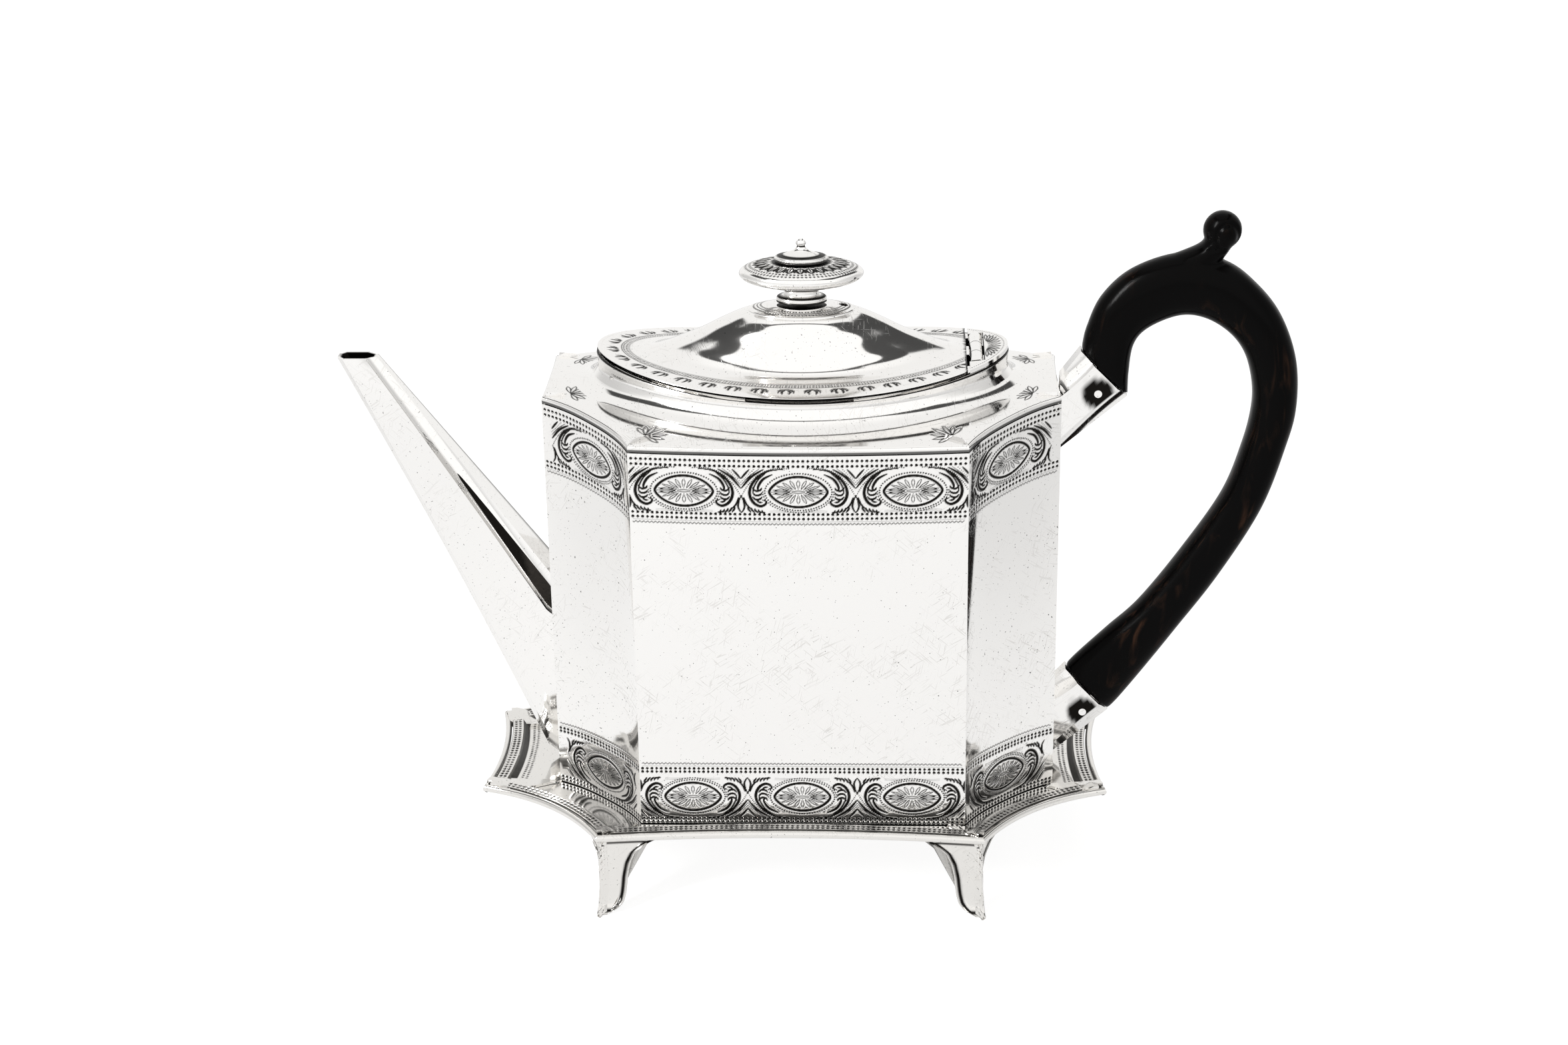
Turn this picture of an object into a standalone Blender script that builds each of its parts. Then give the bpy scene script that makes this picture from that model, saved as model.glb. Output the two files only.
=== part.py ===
"""An eight-sided silver teapot with a hinged lid, standing on its own footed tray.

Lengths are in millimetres and are turned into metres as each mesh is made. Shapes of the pot are laid out
from the middle of its underside, and the pot's own empty carries them to their place on the stand.
"""

from math import atan2, cos, hypot, pi, sin, sqrt, tau

import bmesh
import bpy
from mathutils import Vector

MM = 0.001
GAP = 0.3  # between pieces that touch, are soldered together or turn on each other
SHEET = 1.0  # thickness of the raised silver sheet

# Walls of the pot: a box with canted, hollowed corners.
BODY_HALF_LENGTH = 71.0
BODY_HALF_DEPTH = 42.4
FRONT_HALF_WIDTH = 45.4
END_HALF_WIDTH = 17.2
WALL_HEIGHT = 112.7  # at the middle of the front edge of the deck
CANT_SAG = 2.2  # how far each canted panel is hollowed
END_SAG = 0.5
BASE_RECESS = 1.2  # the bottom plate sits this far up inside the walls

# Deck: it sweeps up to both ends and is crowned from front to back.
DECK_SWEEP = 2.3
DECK_CROWN = 4.0
DECK_LIP = 1.9
DECK_EDGE_ROUND = 1.0
COVE_REACH = 7.0
COVE_RISE = 5.0

# Lid and the oval collar under it.
LID_HALF_LENGTH = 56.8
LID_HALF_WIDTH = 30.2
COLLAR_RISE = 11.35
LID_LEVEL = WALL_HEIGHT + COLLAR_RISE  # top of the flange, carried to the middle of the lid
LID_SWEEP = 3.8
LID_CROWN = 1.8
LID_BORDER = 8.7  # flat border of the lid
SEAT_WIDTH = 6.2  # of the ring that the lid rests on, at the front and back
SEAT_END_WIDTH = 10.8
MOUTH_HALF_LENGTH = LID_HALF_LENGTH - SEAT_END_WIDTH
MOUTH_HALF_WIDTH = LID_HALF_WIDTH - SEAT_WIDTH
MOUTH_SHIFT = -5.0  # the filling mouth lies towards the spout, clear of the hinge
SEAT_THICKNESS = 0.9
BEZEL_DEPTH = 5.0
BEZEL_CLEARANCE = 0.5
# Dome of the lid: half length, half width, height above the flange, then its rings as shares of its foot.
DOME_FOOT = (LID_HALF_LENGTH - LID_BORDER - 5.1, LID_HALF_WIDTH - LID_BORDER - 3.6, 0.5)
DOME_SHAPE = (
    (0.8953, 0.8939, 2.1),
    (0.7791, 0.8156, 4.4),
    (0.6512, 0.7207, 7.1),
    (0.5116, 0.6089, 10.5),
    (0.3605, 0.4693, 13.4),
    (0.1860, 0.2570, 14.2),
)
DOME_RINGS = tuple((DOME_FOOT[0] * long, DOME_FOOT[1] * wide, high) for long, wide, high in DOME_SHAPE)
DOME_TOP = 14.4

# Hinge of the lid, flush in the handle end of the oval.
HINGE_FROM_EDGE = 8.8
HINGE_X = LID_HALF_LENGTH - HINGE_FROM_EDGE
KNUCKLE_RADIUS = 2.0
KNUCKLE_LENGTH = LID_HALF_WIDTH / 4  # three of them fit across the lid's end
KNUCKLE_PROUD = 0.2
HINGE_PIN_RADIUS = 0.8
LEAF_REACH = 4.6
LEAF_THICKNESS = 0.8
LID_CUT_X = HINGE_X - KNUCKLE_RADIUS - 0.5  # straight end of the lid

# Finial: every piece is an oval turning.
FINIAL_SQUASH = 0.66
PLATE_HALF_LENGTH = 15.1
PLATE_HALF_WIDTH = 0.486 * DOME_FOOT[1]
PLATE_THICKNESS = 0.8
PLATE_SEAT = 0.45  # over the dome, whose facets it must clear
NECK_HEIGHT = 4.7
NECK_RADIUS = 5.6
NECK_RING_RADIUS = 6.7
DISC_RADIUS = 17.2
DISC_THICKNESS = 6.2
BUTTON_RADIUS = 7.3
BUTTON_HEIGHT = 6.3
STUD_RADIUS = 1.5
STUD_LENGTH = 9.0
NUT_RADIUS = 3.1
NUT_HEIGHT = 2.4
WASHER_RADIUS = 3.6
WASHER_THICKNESS = 0.8
VENT_X = 11.6
VENT_RADIUS = 1.0

# Spout: eight-sided and straight, cut level at the mouth.
SPOUT_LENGTH = 58.6  # from the end wall to the lower lip
SPOUT_REACH = BODY_HALF_LENGTH + SPOUT_LENGTH
SPOUT_OVER_WALL = 11.5
SPOUT_MOUTH_LEVEL = WALL_HEIGHT + SPOUT_OVER_WALL
SPOUT_MOUTH_LENGTH = 11.1
SPOUT_TOP = 59.3  # where its back meets the wall
SPOUT_FOOT = 0.8
SPOUT_TAIL = 3.4  # the tail stands off the wall by this much
SPOUT_HALF_WIDTH = 11.0
SPOUT_SHEET = 0.9
SPOUT_HOLLOW = 1.2  # slight inward bow of the underside
STRAINER_HOLE_RADIUS = 1.2
STRAINER_PITCH = 4.6
STRAINER_ROWS = 5
STRAINER_LEVEL = 36.0

# Handle sockets: across = along the socket's mouth, in the plane of the handle.
SOCKET_HALF_WIDTH = 4.8
SOCKET_SHEET = 0.9
SOCKET_PIN_RADIUS = 1.1
TENON_LENGTH = 7.2
TENON_ACROSS = 11.0
TENON_HALF_WIDTH = 2.7
# Their points and the handle's are drawn out from the end wall, for a wall of this height.
DRAWN_WALL_HEIGHT = 112.7


def off_wall(x, z):
    """Places a point drawn out from the end wall."""
    return (BODY_HALF_LENGTH + x, z * WALL_HEIGHT / DRAWN_WALL_HEIGHT)


def socket_lines(wall, mouth, pin):
    return {"wall": [off_wall(0, z)[1] for z in wall], "mouth": [off_wall(*point) for point in mouth],
            "pin": off_wall(*pin)}


UPPER_SOCKET = socket_lines((118.4, 96.8), ((5.9, 126.0), (19.0, 112.7)), (10.7, 114.4))
LOWER_SOCKET = socket_lines((25.2, 2.0), ((3.9, 29.2), (16.4, 15.9)), (8.9, 16.6))

# Handle: points on its outer and inner edges, paired across it, between the upper socket and the lower one.
HANDLE_POINTS = (
    (7.3, 132.2, 19.3, 119.5),
    (11.2, 141.2, 20.4, 127.6),
    (19.5, 149.0, 24.3, 132.4),
    (32.5, 153.3, 32.6, 135.9),
    (44.8, 151.0, 39.8, 135.0),
    (53.5, 144.5, 46.6, 130.6),
    (60.5, 135.5, 51.0, 124.4),
    (65.1, 123.0, 53.3, 115.8),
    (65.9, 109.5, 53.4, 108.0),
    (63.7, 98.0, 51.4, 97.8),
    (57.7, 79.0, 46.4, 83.0),
    (46.5, 58.5, 36.0, 66.0),
    (35.0, 41.5, 24.5, 50.0),
    (27.3, 30.3, 15.6, 41.2),
    (19.8, 19.9, 7.6, 33.3),
)
HANDLE_STATIONS = tuple(off_wall(ax, az) + off_wall(bx, bz) for ax, az, bx, bz in HANDLE_POINTS)
HANDLE_HALF_WIDTH = 6.6
HANDLE_END_HALF_WIDTH = 5.0
SCROLL_CENTRE = off_wall(43.3, 159.9)
SCROLL_RADIUS = 5.3
SCROLL_HALF_WIDTH = 5.0

# Stand: a shallow tray with eight hollowed sides on four bracket feet.
FOOT_HEIGHT = 21.9
STAND_HALF_LENGTH = BODY_HALF_LENGTH + 18.4
STAND_HALF_DEPTH = BODY_HALF_DEPTH + 11.6
STAND_FRONT_HALF_WIDTH = FRONT_HALF_WIDTH + 8.5
STAND_END_HALF_WIDTH = END_HALF_WIDTH + 7.0
STAND_FRONT_SAG = 3.2
STAND_CANT_SAG = 5.0
STAND_END_SAG = 2.6
TRAY_DEPTH = 1.9
RIM_WIDTH = 3.2
RIM_WIRE_WIDTH = 1.9
RIM_WIRE_HEIGHT = 2.2
TRAY_WALL_SLOPE = 0.7
FOOT_SHEET = 1.6
FOOT_SET_BACK = 2.4
FOOT_TOE = 2.2  # how far the toe curls out
# Outline of a foot: share of its height from the top, and half its width there, measured round the corner.
FOOT_OUTLINE = ((0.0, 19.0), (0.05, 17.8), (0.14, 13.2), (0.27, 9.6), (0.45, 7.5), (0.65, 6.4),
                (0.82, 6.2), (0.92, 5.6), (0.97, 4.6), (1.0, 2.8))

# Tray floor and the pot's place over it.
POT_OFF_CENTRE = 3.3  # the pot stands this far towards its handle from the middle of the tray
FLOOR_TOP = FOOT_HEIGHT + SHEET + GAP
POT_LEVEL = FLOOR_TOP + GAP
HANDLE_REACH = max(x for x, _, _, _ in HANDLE_STATIONS) + 0.1
POT_X = (SPOUT_REACH - HANDLE_REACH) / 2  # puts the whole object's middle over the origin
STAND_X = POT_X - POT_OFF_CENTRE

SILVER = {"color": (0.86, 0.85, 0.82, 1.0), "metallic": 1.0, "roughness": 0.14}
SILVER_DULL = {"color": (0.62, 0.60, 0.57, 1.0), "metallic": 1.0, "roughness": 0.32}
EBONY = {"color": (0.012, 0.010, 0.009, 1.0), "metallic": 0.0, "roughness": 0.34}


# ---------------------------------------------------------------- scene and materials


def clear_scene():
    for obj in list(bpy.data.objects):
        bpy.data.objects.remove(obj)


def new_collection(name, hidden=False):
    made = bpy.data.collections.new(name)
    bpy.context.scene.collection.children.link(made)
    made.hide_render = hidden
    return made


def dress(obj, finish):
    material = bpy.data.materials.new(obj.name + "_finish")
    material.use_nodes = True
    shader = material.node_tree.nodes["Principled BSDF"]
    shader.inputs["Base Color"].default_value = finish["color"]
    shader.inputs["Metallic"].default_value = finish["metallic"]
    shader.inputs["Roughness"].default_value = finish["roughness"]
    material.diffuse_color = finish["color"]
    obj.data.materials.append(material)


class Bench:
    """Holds the collections and the empties that the pieces are hung from."""

    def __init__(self):
        self.pieces = new_collection("silver_teapot")
        self.tools = new_collection("cutters", hidden=True)
        self.stand = self.empty("stand_frame", None, (STAND_X, 0, 0))
        self.pot = self.empty("teapot_frame", self.stand, (POT_OFF_CENTRE, 0, POT_LEVEL))
        self.lid = self.empty("lid_frame", self.pot, (HINGE_X, 0, hinge_level()))
        self.shift = {self.stand: (0, 0, 0), self.pot: (0, 0, 0), self.lid: (-HINGE_X, 0, -hinge_level())}

    def empty(self, name, parent, place):
        made = bpy.data.objects.new(name, None)
        made.empty_display_size = 0.01
        made.location = Vector(place) * MM
        made.parent = parent
        self.pieces.objects.link(made)
        return made

    def add(self, name, mesh, frame, finish):
        """A finished piece, whose mesh is laid out in the pot's (or the stand's) own place."""
        obj = bpy.data.objects.new(name, mesh)
        obj.parent = frame
        obj.location = Vector(self.shift[frame]) * MM
        self.pieces.objects.link(obj)
        if finish:
            dress(obj, finish)
        return obj

    def cutter(self, name, mesh, frame):
        obj = bpy.data.objects.new(name, mesh)
        obj.parent = frame
        obj.location = Vector(self.shift[frame]) * MM
        obj.hide_render = True
        obj.display_type = "WIRE"
        self.tools.objects.link(obj)
        return obj


def carve(obj, tool, operation="DIFFERENCE"):
    modifier = obj.modifiers.new(tool.name, "BOOLEAN")
    modifier.operation = operation
    modifier.solver = "EXACT"
    modifier.object = tool


def thicken(obj, thickness):
    """Gives an open sheet its wall, on the side away from its normals."""
    modifier = obj.modifiers.new("sheet", "SOLIDIFY")
    modifier.thickness = thickness * MM
    modifier.offset = -1.0
    modifier.use_even_offset = True
    modifier.use_quality_normals = True
    modifier.use_rim = True


# ---------------------------------------------------------------- meshes


def finish_mesh(name, bm, smooth_angle=0.6):
    bmesh.ops.remove_doubles(bm, verts=bm.verts, dist=1e-7)
    bmesh.ops.recalc_face_normals(bm, faces=bm.faces)
    mesh = bpy.data.meshes.new(name)
    bm.to_mesh(mesh)
    bm.free()
    mesh.shade_smooth()
    mesh.set_sharp_from_angle(angle=smooth_angle)
    return mesh


def loft(name, rings, closed=False, caps=True, smooth_angle=0.6):
    """A skin through rings of equally many points. closed joins the last ring to the first, as in a tube."""
    bm = bmesh.new()
    rows = [[bm.verts.new(Vector(point) * MM) for point in ring] for ring in rings]
    count = len(rings[0])
    spans = len(rows) if closed else len(rows) - 1
    for low in range(spans):
        here, there = rows[low], rows[(low + 1) % len(rows)]
        for i in range(count):
            k = (i + 1) % count
            bm.faces.new((here[i], here[k], there[k], there[i]))
    if caps and not closed:
        bm.faces.new(list(reversed(rows[0])))
        bm.faces.new(rows[-1])
    return finish_mesh(name, bm, smooth_angle)


def turning(name, profile, centre, squash=1.0, steps=24):
    """A solid turned about an upright axis, then pressed oval. The profile runs from top to bottom."""
    rings = []
    for radius, level in profile:
        ring = []
        for i in range(steps):
            angle = tau * i / steps
            x = centre[0] + radius * cos(angle)
            y = centre[1] + radius * sin(angle) * squash
            ring.append((x, y, level))
        rings.append(ring)
    return loft(name, rings)


def block(name, low, high):
    bm = bmesh.new()
    bmesh.ops.create_cube(bm, size=1.0)
    for vert in bm.verts:
        for axis in range(3):
            end = high[axis] if vert.co[axis] > 0 else low[axis]
            vert.co[axis] = end * MM
    return finish_mesh(name, bm)


def rod(name, centre, axis, radius, length, steps=20):
    """A round bar through its middle point."""
    bm = bmesh.new()
    bmesh.ops.create_cone(bm, cap_ends=True, segments=steps, radius1=radius * MM, radius2=radius * MM,
                          depth=length * MM)
    turn = Vector((0, 0, 1)).rotation_difference(Vector(axis))
    bmesh.ops.rotate(bm, verts=bm.verts, cent=(0, 0, 0), matrix=turn.to_matrix())
    bmesh.ops.translate(bm, verts=bm.verts, vec=Vector(centre) * MM)
    return finish_mesh(name, bm)


# ---------------------------------------------------------------- plans and heights


def hollow_side(start, end, sag, steps):
    """Points from start up to, but without, end, on an arc that bows inwards (to the left) by sag."""
    dx, dy = end[0] - start[0], end[1] - start[1]
    chord = hypot(dx, dy)
    normal = (-dy / chord, dx / chord)
    radius = (chord * chord / 4 + sag * sag) / (2 * sag) if sag else None
    points = []
    for i in range(steps):
        share = i / steps
        bow = 0.0
        if radius:
            bow = sqrt(radius * radius - (chord * (share - 0.5)) ** 2) - (radius - sag)
        points.append((start[0] + dx * share + normal[0] * bow, start[1] + dy * share + normal[1] * bow))
    return points


def eight_sides(half_length, half_depth, front_half, end_half, sags, steps=(8, 6, 4)):
    """The plan of the walls or of the tray, anticlockwise from its front left corner."""
    front_sag, cant_sag, end_sag = sags
    front, cant, end = steps
    corners = [(-front_half, -half_depth), (front_half, -half_depth), (half_length, -end_half),
               (half_length, end_half), (front_half, half_depth), (-front_half, half_depth),
               (-half_length, end_half), (-half_length, -end_half)]
    kinds = [(front_sag, front), (cant_sag, cant), (end_sag, end), (cant_sag, cant)] * 2
    plan = []
    for i, (sag, count) in enumerate(kinds):
        plan += hollow_side(corners[i], corners[(i + 1) % 8], sag, count)
    return plan


def inset(plan, distance):
    """The same plan moved inwards by an equal distance all round."""
    moved = []
    count = len(plan)
    for i, (x, y) in enumerate(plan):
        before, after = plan[i - 1], plan[(i + 1) % count]
        normals = []
        for a, b in ((before, (x, y)), ((x, y), after)):
            length = hypot(b[0] - a[0], b[1] - a[1])
            normals.append((-(b[1] - a[1]) / length, (b[0] - a[0]) / length))
        (ax, ay), (bx, by) = normals
        scale = distance / (1 + ax * bx + ay * by)
        moved.append((x + (ax + bx) * scale, y + (ay + by) * scale))
    return moved


def at_level(plan, level):
    return [(x, y, level(x, y) if callable(level) else level) for x, y in plan]


def body_plan():
    return eight_sides(BODY_HALF_LENGTH, BODY_HALF_DEPTH, FRONT_HALF_WIDTH, END_HALF_WIDTH,
                       (0.0, CANT_SAG, END_SAG))


def stand_plan():
    return eight_sides(STAND_HALF_LENGTH, STAND_HALF_DEPTH, STAND_FRONT_HALF_WIDTH, STAND_END_HALF_WIDTH,
                       (STAND_FRONT_SAG, STAND_CANT_SAG, STAND_END_SAG))


def deck_level(x, y):
    return (WALL_HEIGHT + DECK_SWEEP * (x / BODY_HALF_LENGTH) ** 2
            + DECK_CROWN * (1 - (y / BODY_HALF_DEPTH) ** 2))


def lid_level(x, y):
    return LID_LEVEL + LID_SWEEP * (x / LID_HALF_LENGTH) ** 2 - LID_CROWN * (y / LID_HALF_WIDTH) ** 2


def lowered(level, drop):
    return lambda x, y: level(x, y) - drop


def oval(half_length, half_width, directions, shift=0.0):
    """An oval with one point for each direction, given as angles round the unit circle."""
    return [(shift + half_length * cos(a), half_width * sin(a)) for a in directions]


def plan_directions(plan, half_length, half_width):
    return [atan2(y / half_width, x / half_length) for x, y in plan]


def even_directions(steps):
    return [tau * i / steps for i in range(steps)]


def hinge_level():
    return lid_level(HINGE_X, 0) + KNUCKLE_PROUD - KNUCKLE_RADIUS


# ---------------------------------------------------------------- pot


def make_walls(bench):
    plan = body_plan()
    inner = inset(plan, SHEET)
    top = lowered(deck_level, DECK_LIP + GAP)
    rings = [at_level(plan, 0.0), at_level(plan, top), at_level(inner, top), at_level(inner, 0.0)]
    walls = bench.add("body_wall", loft("body_wall", rings, closed=True), bench.pot, SILVER)
    number = 0
    for row in range(STRAINER_ROWS):
        offset = row - (STRAINER_ROWS - 1) / 2
        across = 4 if row % 2 else 3
        for column in range(across):
            y = (column - (across - 1) / 2) * STRAINER_PITCH
            z = STRAINER_LEVEL + offset * STRAINER_PITCH
            hole = rod("strainer_hole_%02d" % number, (-BODY_HALF_LENGTH, y, z), (1, 0, 0),
                       STRAINER_HOLE_RADIUS, 8 * SHEET, steps=10)
            carve(walls, bench.cutter("strainer_cutter_%02d" % number, hole, bench.pot))
            number += 1
    bottom = inset(plan, SHEET + GAP)
    plate = [at_level(bottom, BASE_RECESS), at_level(bottom, BASE_RECESS + SHEET)]
    bench.add("body_base", loft("body_base", plate), bench.pot, SILVER)


def make_deck(bench):
    """The deck, its cove and the upright collar are one raised sheet."""
    plan = body_plan()
    around = collar_directions()
    rings = [at_level(plan, lowered(deck_level, drop)) for drop in (DECK_LIP, DECK_EDGE_ROUND)]
    for share in (0.5, 1.0):
        turn = share * pi / 2
        drop = DECK_EDGE_ROUND * (1 - sin(turn))
        rings.append(at_level(inset(plan, DECK_EDGE_ROUND * (1 - cos(turn))), lowered(deck_level, drop)))
    for share in (0.0, 0.33, 0.67, 1.0):
        turn = share * pi / 2
        reach = COVE_REACH * (1 - sin(turn))
        rise = COVE_RISE * (1 - cos(turn))
        ring = oval(LID_HALF_LENGTH + reach, LID_HALF_WIDTH + reach, around)
        rings.append(at_level(ring, lowered(deck_level, -rise)))
    rings.append(at_level(oval(LID_HALF_LENGTH, LID_HALF_WIDTH, around), lowered(lid_level, SHEET + GAP)))
    deck = bench.add("body_deck", loft("body_deck", rings, caps=False), bench.pot, SILVER)
    thicken(deck, SHEET)


def collar_directions():
    """Where the collar's corners lie, so that whatever fits inside it has the same facets."""
    return plan_directions(body_plan(), LID_HALF_LENGTH, LID_HALF_WIDTH)


def mouth_oval(spare):
    return oval(MOUTH_HALF_LENGTH - spare, MOUTH_HALF_WIDTH - spare, collar_directions(), MOUTH_SHIFT)


def make_seat(bench):
    """The flat ring inside the collar that the lid rests on, notched for the hinge."""
    outer = oval(LID_HALF_LENGTH - SHEET - GAP, LID_HALF_WIDTH - SHEET - GAP, collar_directions())
    top = lowered(lid_level, SHEET + GAP)
    under = lowered(lid_level, SHEET + GAP + SEAT_THICKNESS)
    inner = mouth_oval(0.0)
    rings = [at_level(outer, top), at_level(inner, top), at_level(inner, under), at_level(outer, under)]
    seat = bench.add("mouth_seat", loft("mouth_seat", rings, closed=True), bench.pot, SILVER)
    carve(seat, hinge_notch(bench, "seat_notch", HINGE_X - LEAF_REACH - GAP))


def hinge_notch(bench, name, from_x):
    half = 1.5 * KNUCKLE_LENGTH + GAP
    level = hinge_level()
    notch = block(name, (from_x, -half, level - 9), (HINGE_X + KNUCKLE_RADIUS + GAP, half, level + 9))
    return bench.cutter(name + "_cutter", notch, bench.pot)


def lid_sheet(name, rings, keep_from=None, keep_to=None):
    """Part of the lid's skin between two upright planes across the pot, still an open sheet."""
    bm = bmesh.new()
    rows = [[bm.verts.new(Vector(point) * MM) for point in ring] for ring in rings]
    count = len(rings[0])
    for here, there in zip(rows, rows[1:]):
        for i in range(count):
            k = (i + 1) % count
            bm.faces.new((here[i], here[k], there[k], there[i]))
    bm.faces.new(rows[-1])
    bmesh.ops.recalc_face_normals(bm, faces=bm.faces)
    everything = bm.verts[:] + bm.edges[:] + bm.faces[:]
    if keep_to is not None:
        bmesh.ops.bisect_plane(bm, geom=everything, plane_co=(keep_to * MM, 0, 0), plane_no=(1, 0, 0),
                               clear_outer=True)
    if keep_from is not None:
        bmesh.ops.bisect_plane(bm, geom=everything, plane_co=(keep_from * MM, 0, 0), plane_no=(-1, 0, 0),
                               clear_outer=True)
    top_faces = sum(face.normal.z for face in bm.faces)
    if top_faces < 0:
        bmesh.ops.reverse_faces(bm, faces=bm.faces)
    mesh = bpy.data.meshes.new(name)
    bm.to_mesh(mesh)
    bm.free()
    mesh.shade_smooth()
    mesh.set_sharp_from_angle(angle=0.6)
    return mesh


def lid_sections():
    """The lid from its edge to its top: half length, half width and height above the flange."""
    edge = (LID_HALF_LENGTH, LID_HALF_WIDTH, 0.0)
    border = (LID_HALF_LENGTH - LID_BORDER, LID_HALF_WIDTH - LID_BORDER, 0.0)
    last = DOME_RINGS[-1]
    return (edge, border, DOME_FOOT) + DOME_RINGS + ((last[0] / 3, last[1] / 3, DOME_TOP),)


def lid_rings(steps=48):
    rings = []
    for half_length, half_width, height in lid_sections():
        ring = oval(half_length, half_width, even_directions(steps))
        rings.append(at_level(ring, lowered(lid_level, -height)))
    return rings


def dome_level(x, y):
    """The top of the lid at a place, read between its sections."""
    sections = lid_sections()
    for (long_a, wide_a, high_a), (long_b, wide_b, high_b) in zip(sections, sections[1:]):
        inside = 1 - hypot(x / long_a, y / wide_a)
        beyond = hypot(x / long_b, y / wide_b) - 1
        if beyond >= 0:
            share = max(inside, 0.0) / (max(inside, 0.0) + beyond + 1e-9)
            return lid_level(x, y) + high_a + (high_b - high_a) * share
    return lid_level(x, y) + DOME_TOP


def make_lid(bench):
    lid = bench.add("lid_shell", lid_sheet("lid_shell", lid_rings(), keep_to=LID_CUT_X), bench.lid, SILVER)
    thicken(lid, SHEET)
    dome_top = LID_LEVEL + DOME_TOP
    stud_hole = rod("stud_hole", (0, 0, dome_top), (0, 0, 1), STUD_RADIUS + GAP, 12, steps=16)
    carve(lid, bench.cutter("stud_hole_cutter", stud_hole, bench.lid))
    vent = rod("vent_hole", (VENT_X, 0, dome_top), (0, 0, 1), VENT_RADIUS, 14, steps=14)
    carve(lid, bench.cutter("vent_hole_cutter", vent, bench.lid))
    top = lowered(lid_level, SHEET + GAP)
    under = lowered(lid_level, SHEET + GAP + BEZEL_DEPTH)
    outer, inner = mouth_oval(BEZEL_CLEARANCE), mouth_oval(BEZEL_CLEARANCE + SHEET)
    rings = [at_level(outer, under), at_level(outer, top), at_level(inner, top), at_level(inner, under)]
    bench.add("lid_bezel", loft("lid_bezel", rings, closed=True), bench.lid, SILVER)


def make_hinge(bench):
    """A flush hinge: outer knuckles on the fixed end plate, middle one on the lid."""
    plate_mesh = lid_sheet("hinge_end_plate", lid_rings(), keep_from=LID_CUT_X + GAP)
    plate = bench.add("hinge_end_plate", plate_mesh, bench.pot, SILVER)
    thicken(plate, SHEET)
    carve(plate, hinge_notch(bench, "plate_notch", LID_CUT_X - 5))
    level = hinge_level()
    leaf_top = level + KNUCKLE_RADIUS - KNUCKLE_PROUD - SHEET - GAP
    bore_length = 4 * KNUCKLE_LENGTH
    for name, middle, side, frame in (("hinge_knuckle_front", -1, 1, bench.pot),
                                      ("hinge_knuckle_back", 1, 1, bench.pot),
                                      ("hinge_knuckle_lid", 0, -1, bench.lid)):
        y = middle * KNUCKLE_LENGTH
        half = KNUCKLE_LENGTH / 2 - GAP / 2
        knuckle = bench.add(name, rod(name, (HINGE_X, y, level), (0, 1, 0), KNUCKLE_RADIUS, 2 * half), frame,
                            SILVER)
        reach = side * (KNUCKLE_RADIUS + 0.1 if side > 0 else LEAF_REACH)
        low_x, high_x = sorted((HINGE_X + side * 0.8, HINGE_X + reach))
        leaf = block(name + "_leaf", (low_x, y - half + 0.05, leaf_top - LEAF_THICKNESS),
                     (high_x, y + half - 0.05, leaf_top))
        carve(knuckle, bench.cutter(name + "_leaf", leaf, frame), "UNION")
        bore = rod(name + "_bore", (HINGE_X, 0, level), (0, 1, 0), HINGE_PIN_RADIUS + GAP, bore_length)
        carve(knuckle, bench.cutter(name + "_bore", bore, frame))
    pin_length = 3 * KNUCKLE_LENGTH - GAP
    bench.add("hinge_pin", rod("hinge_pin", (HINGE_X, 0, level), (0, 1, 0), HINGE_PIN_RADIUS, pin_length, 14),
              bench.pot, SILVER_DULL)


# ---------------------------------------------------------------- finial


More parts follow.
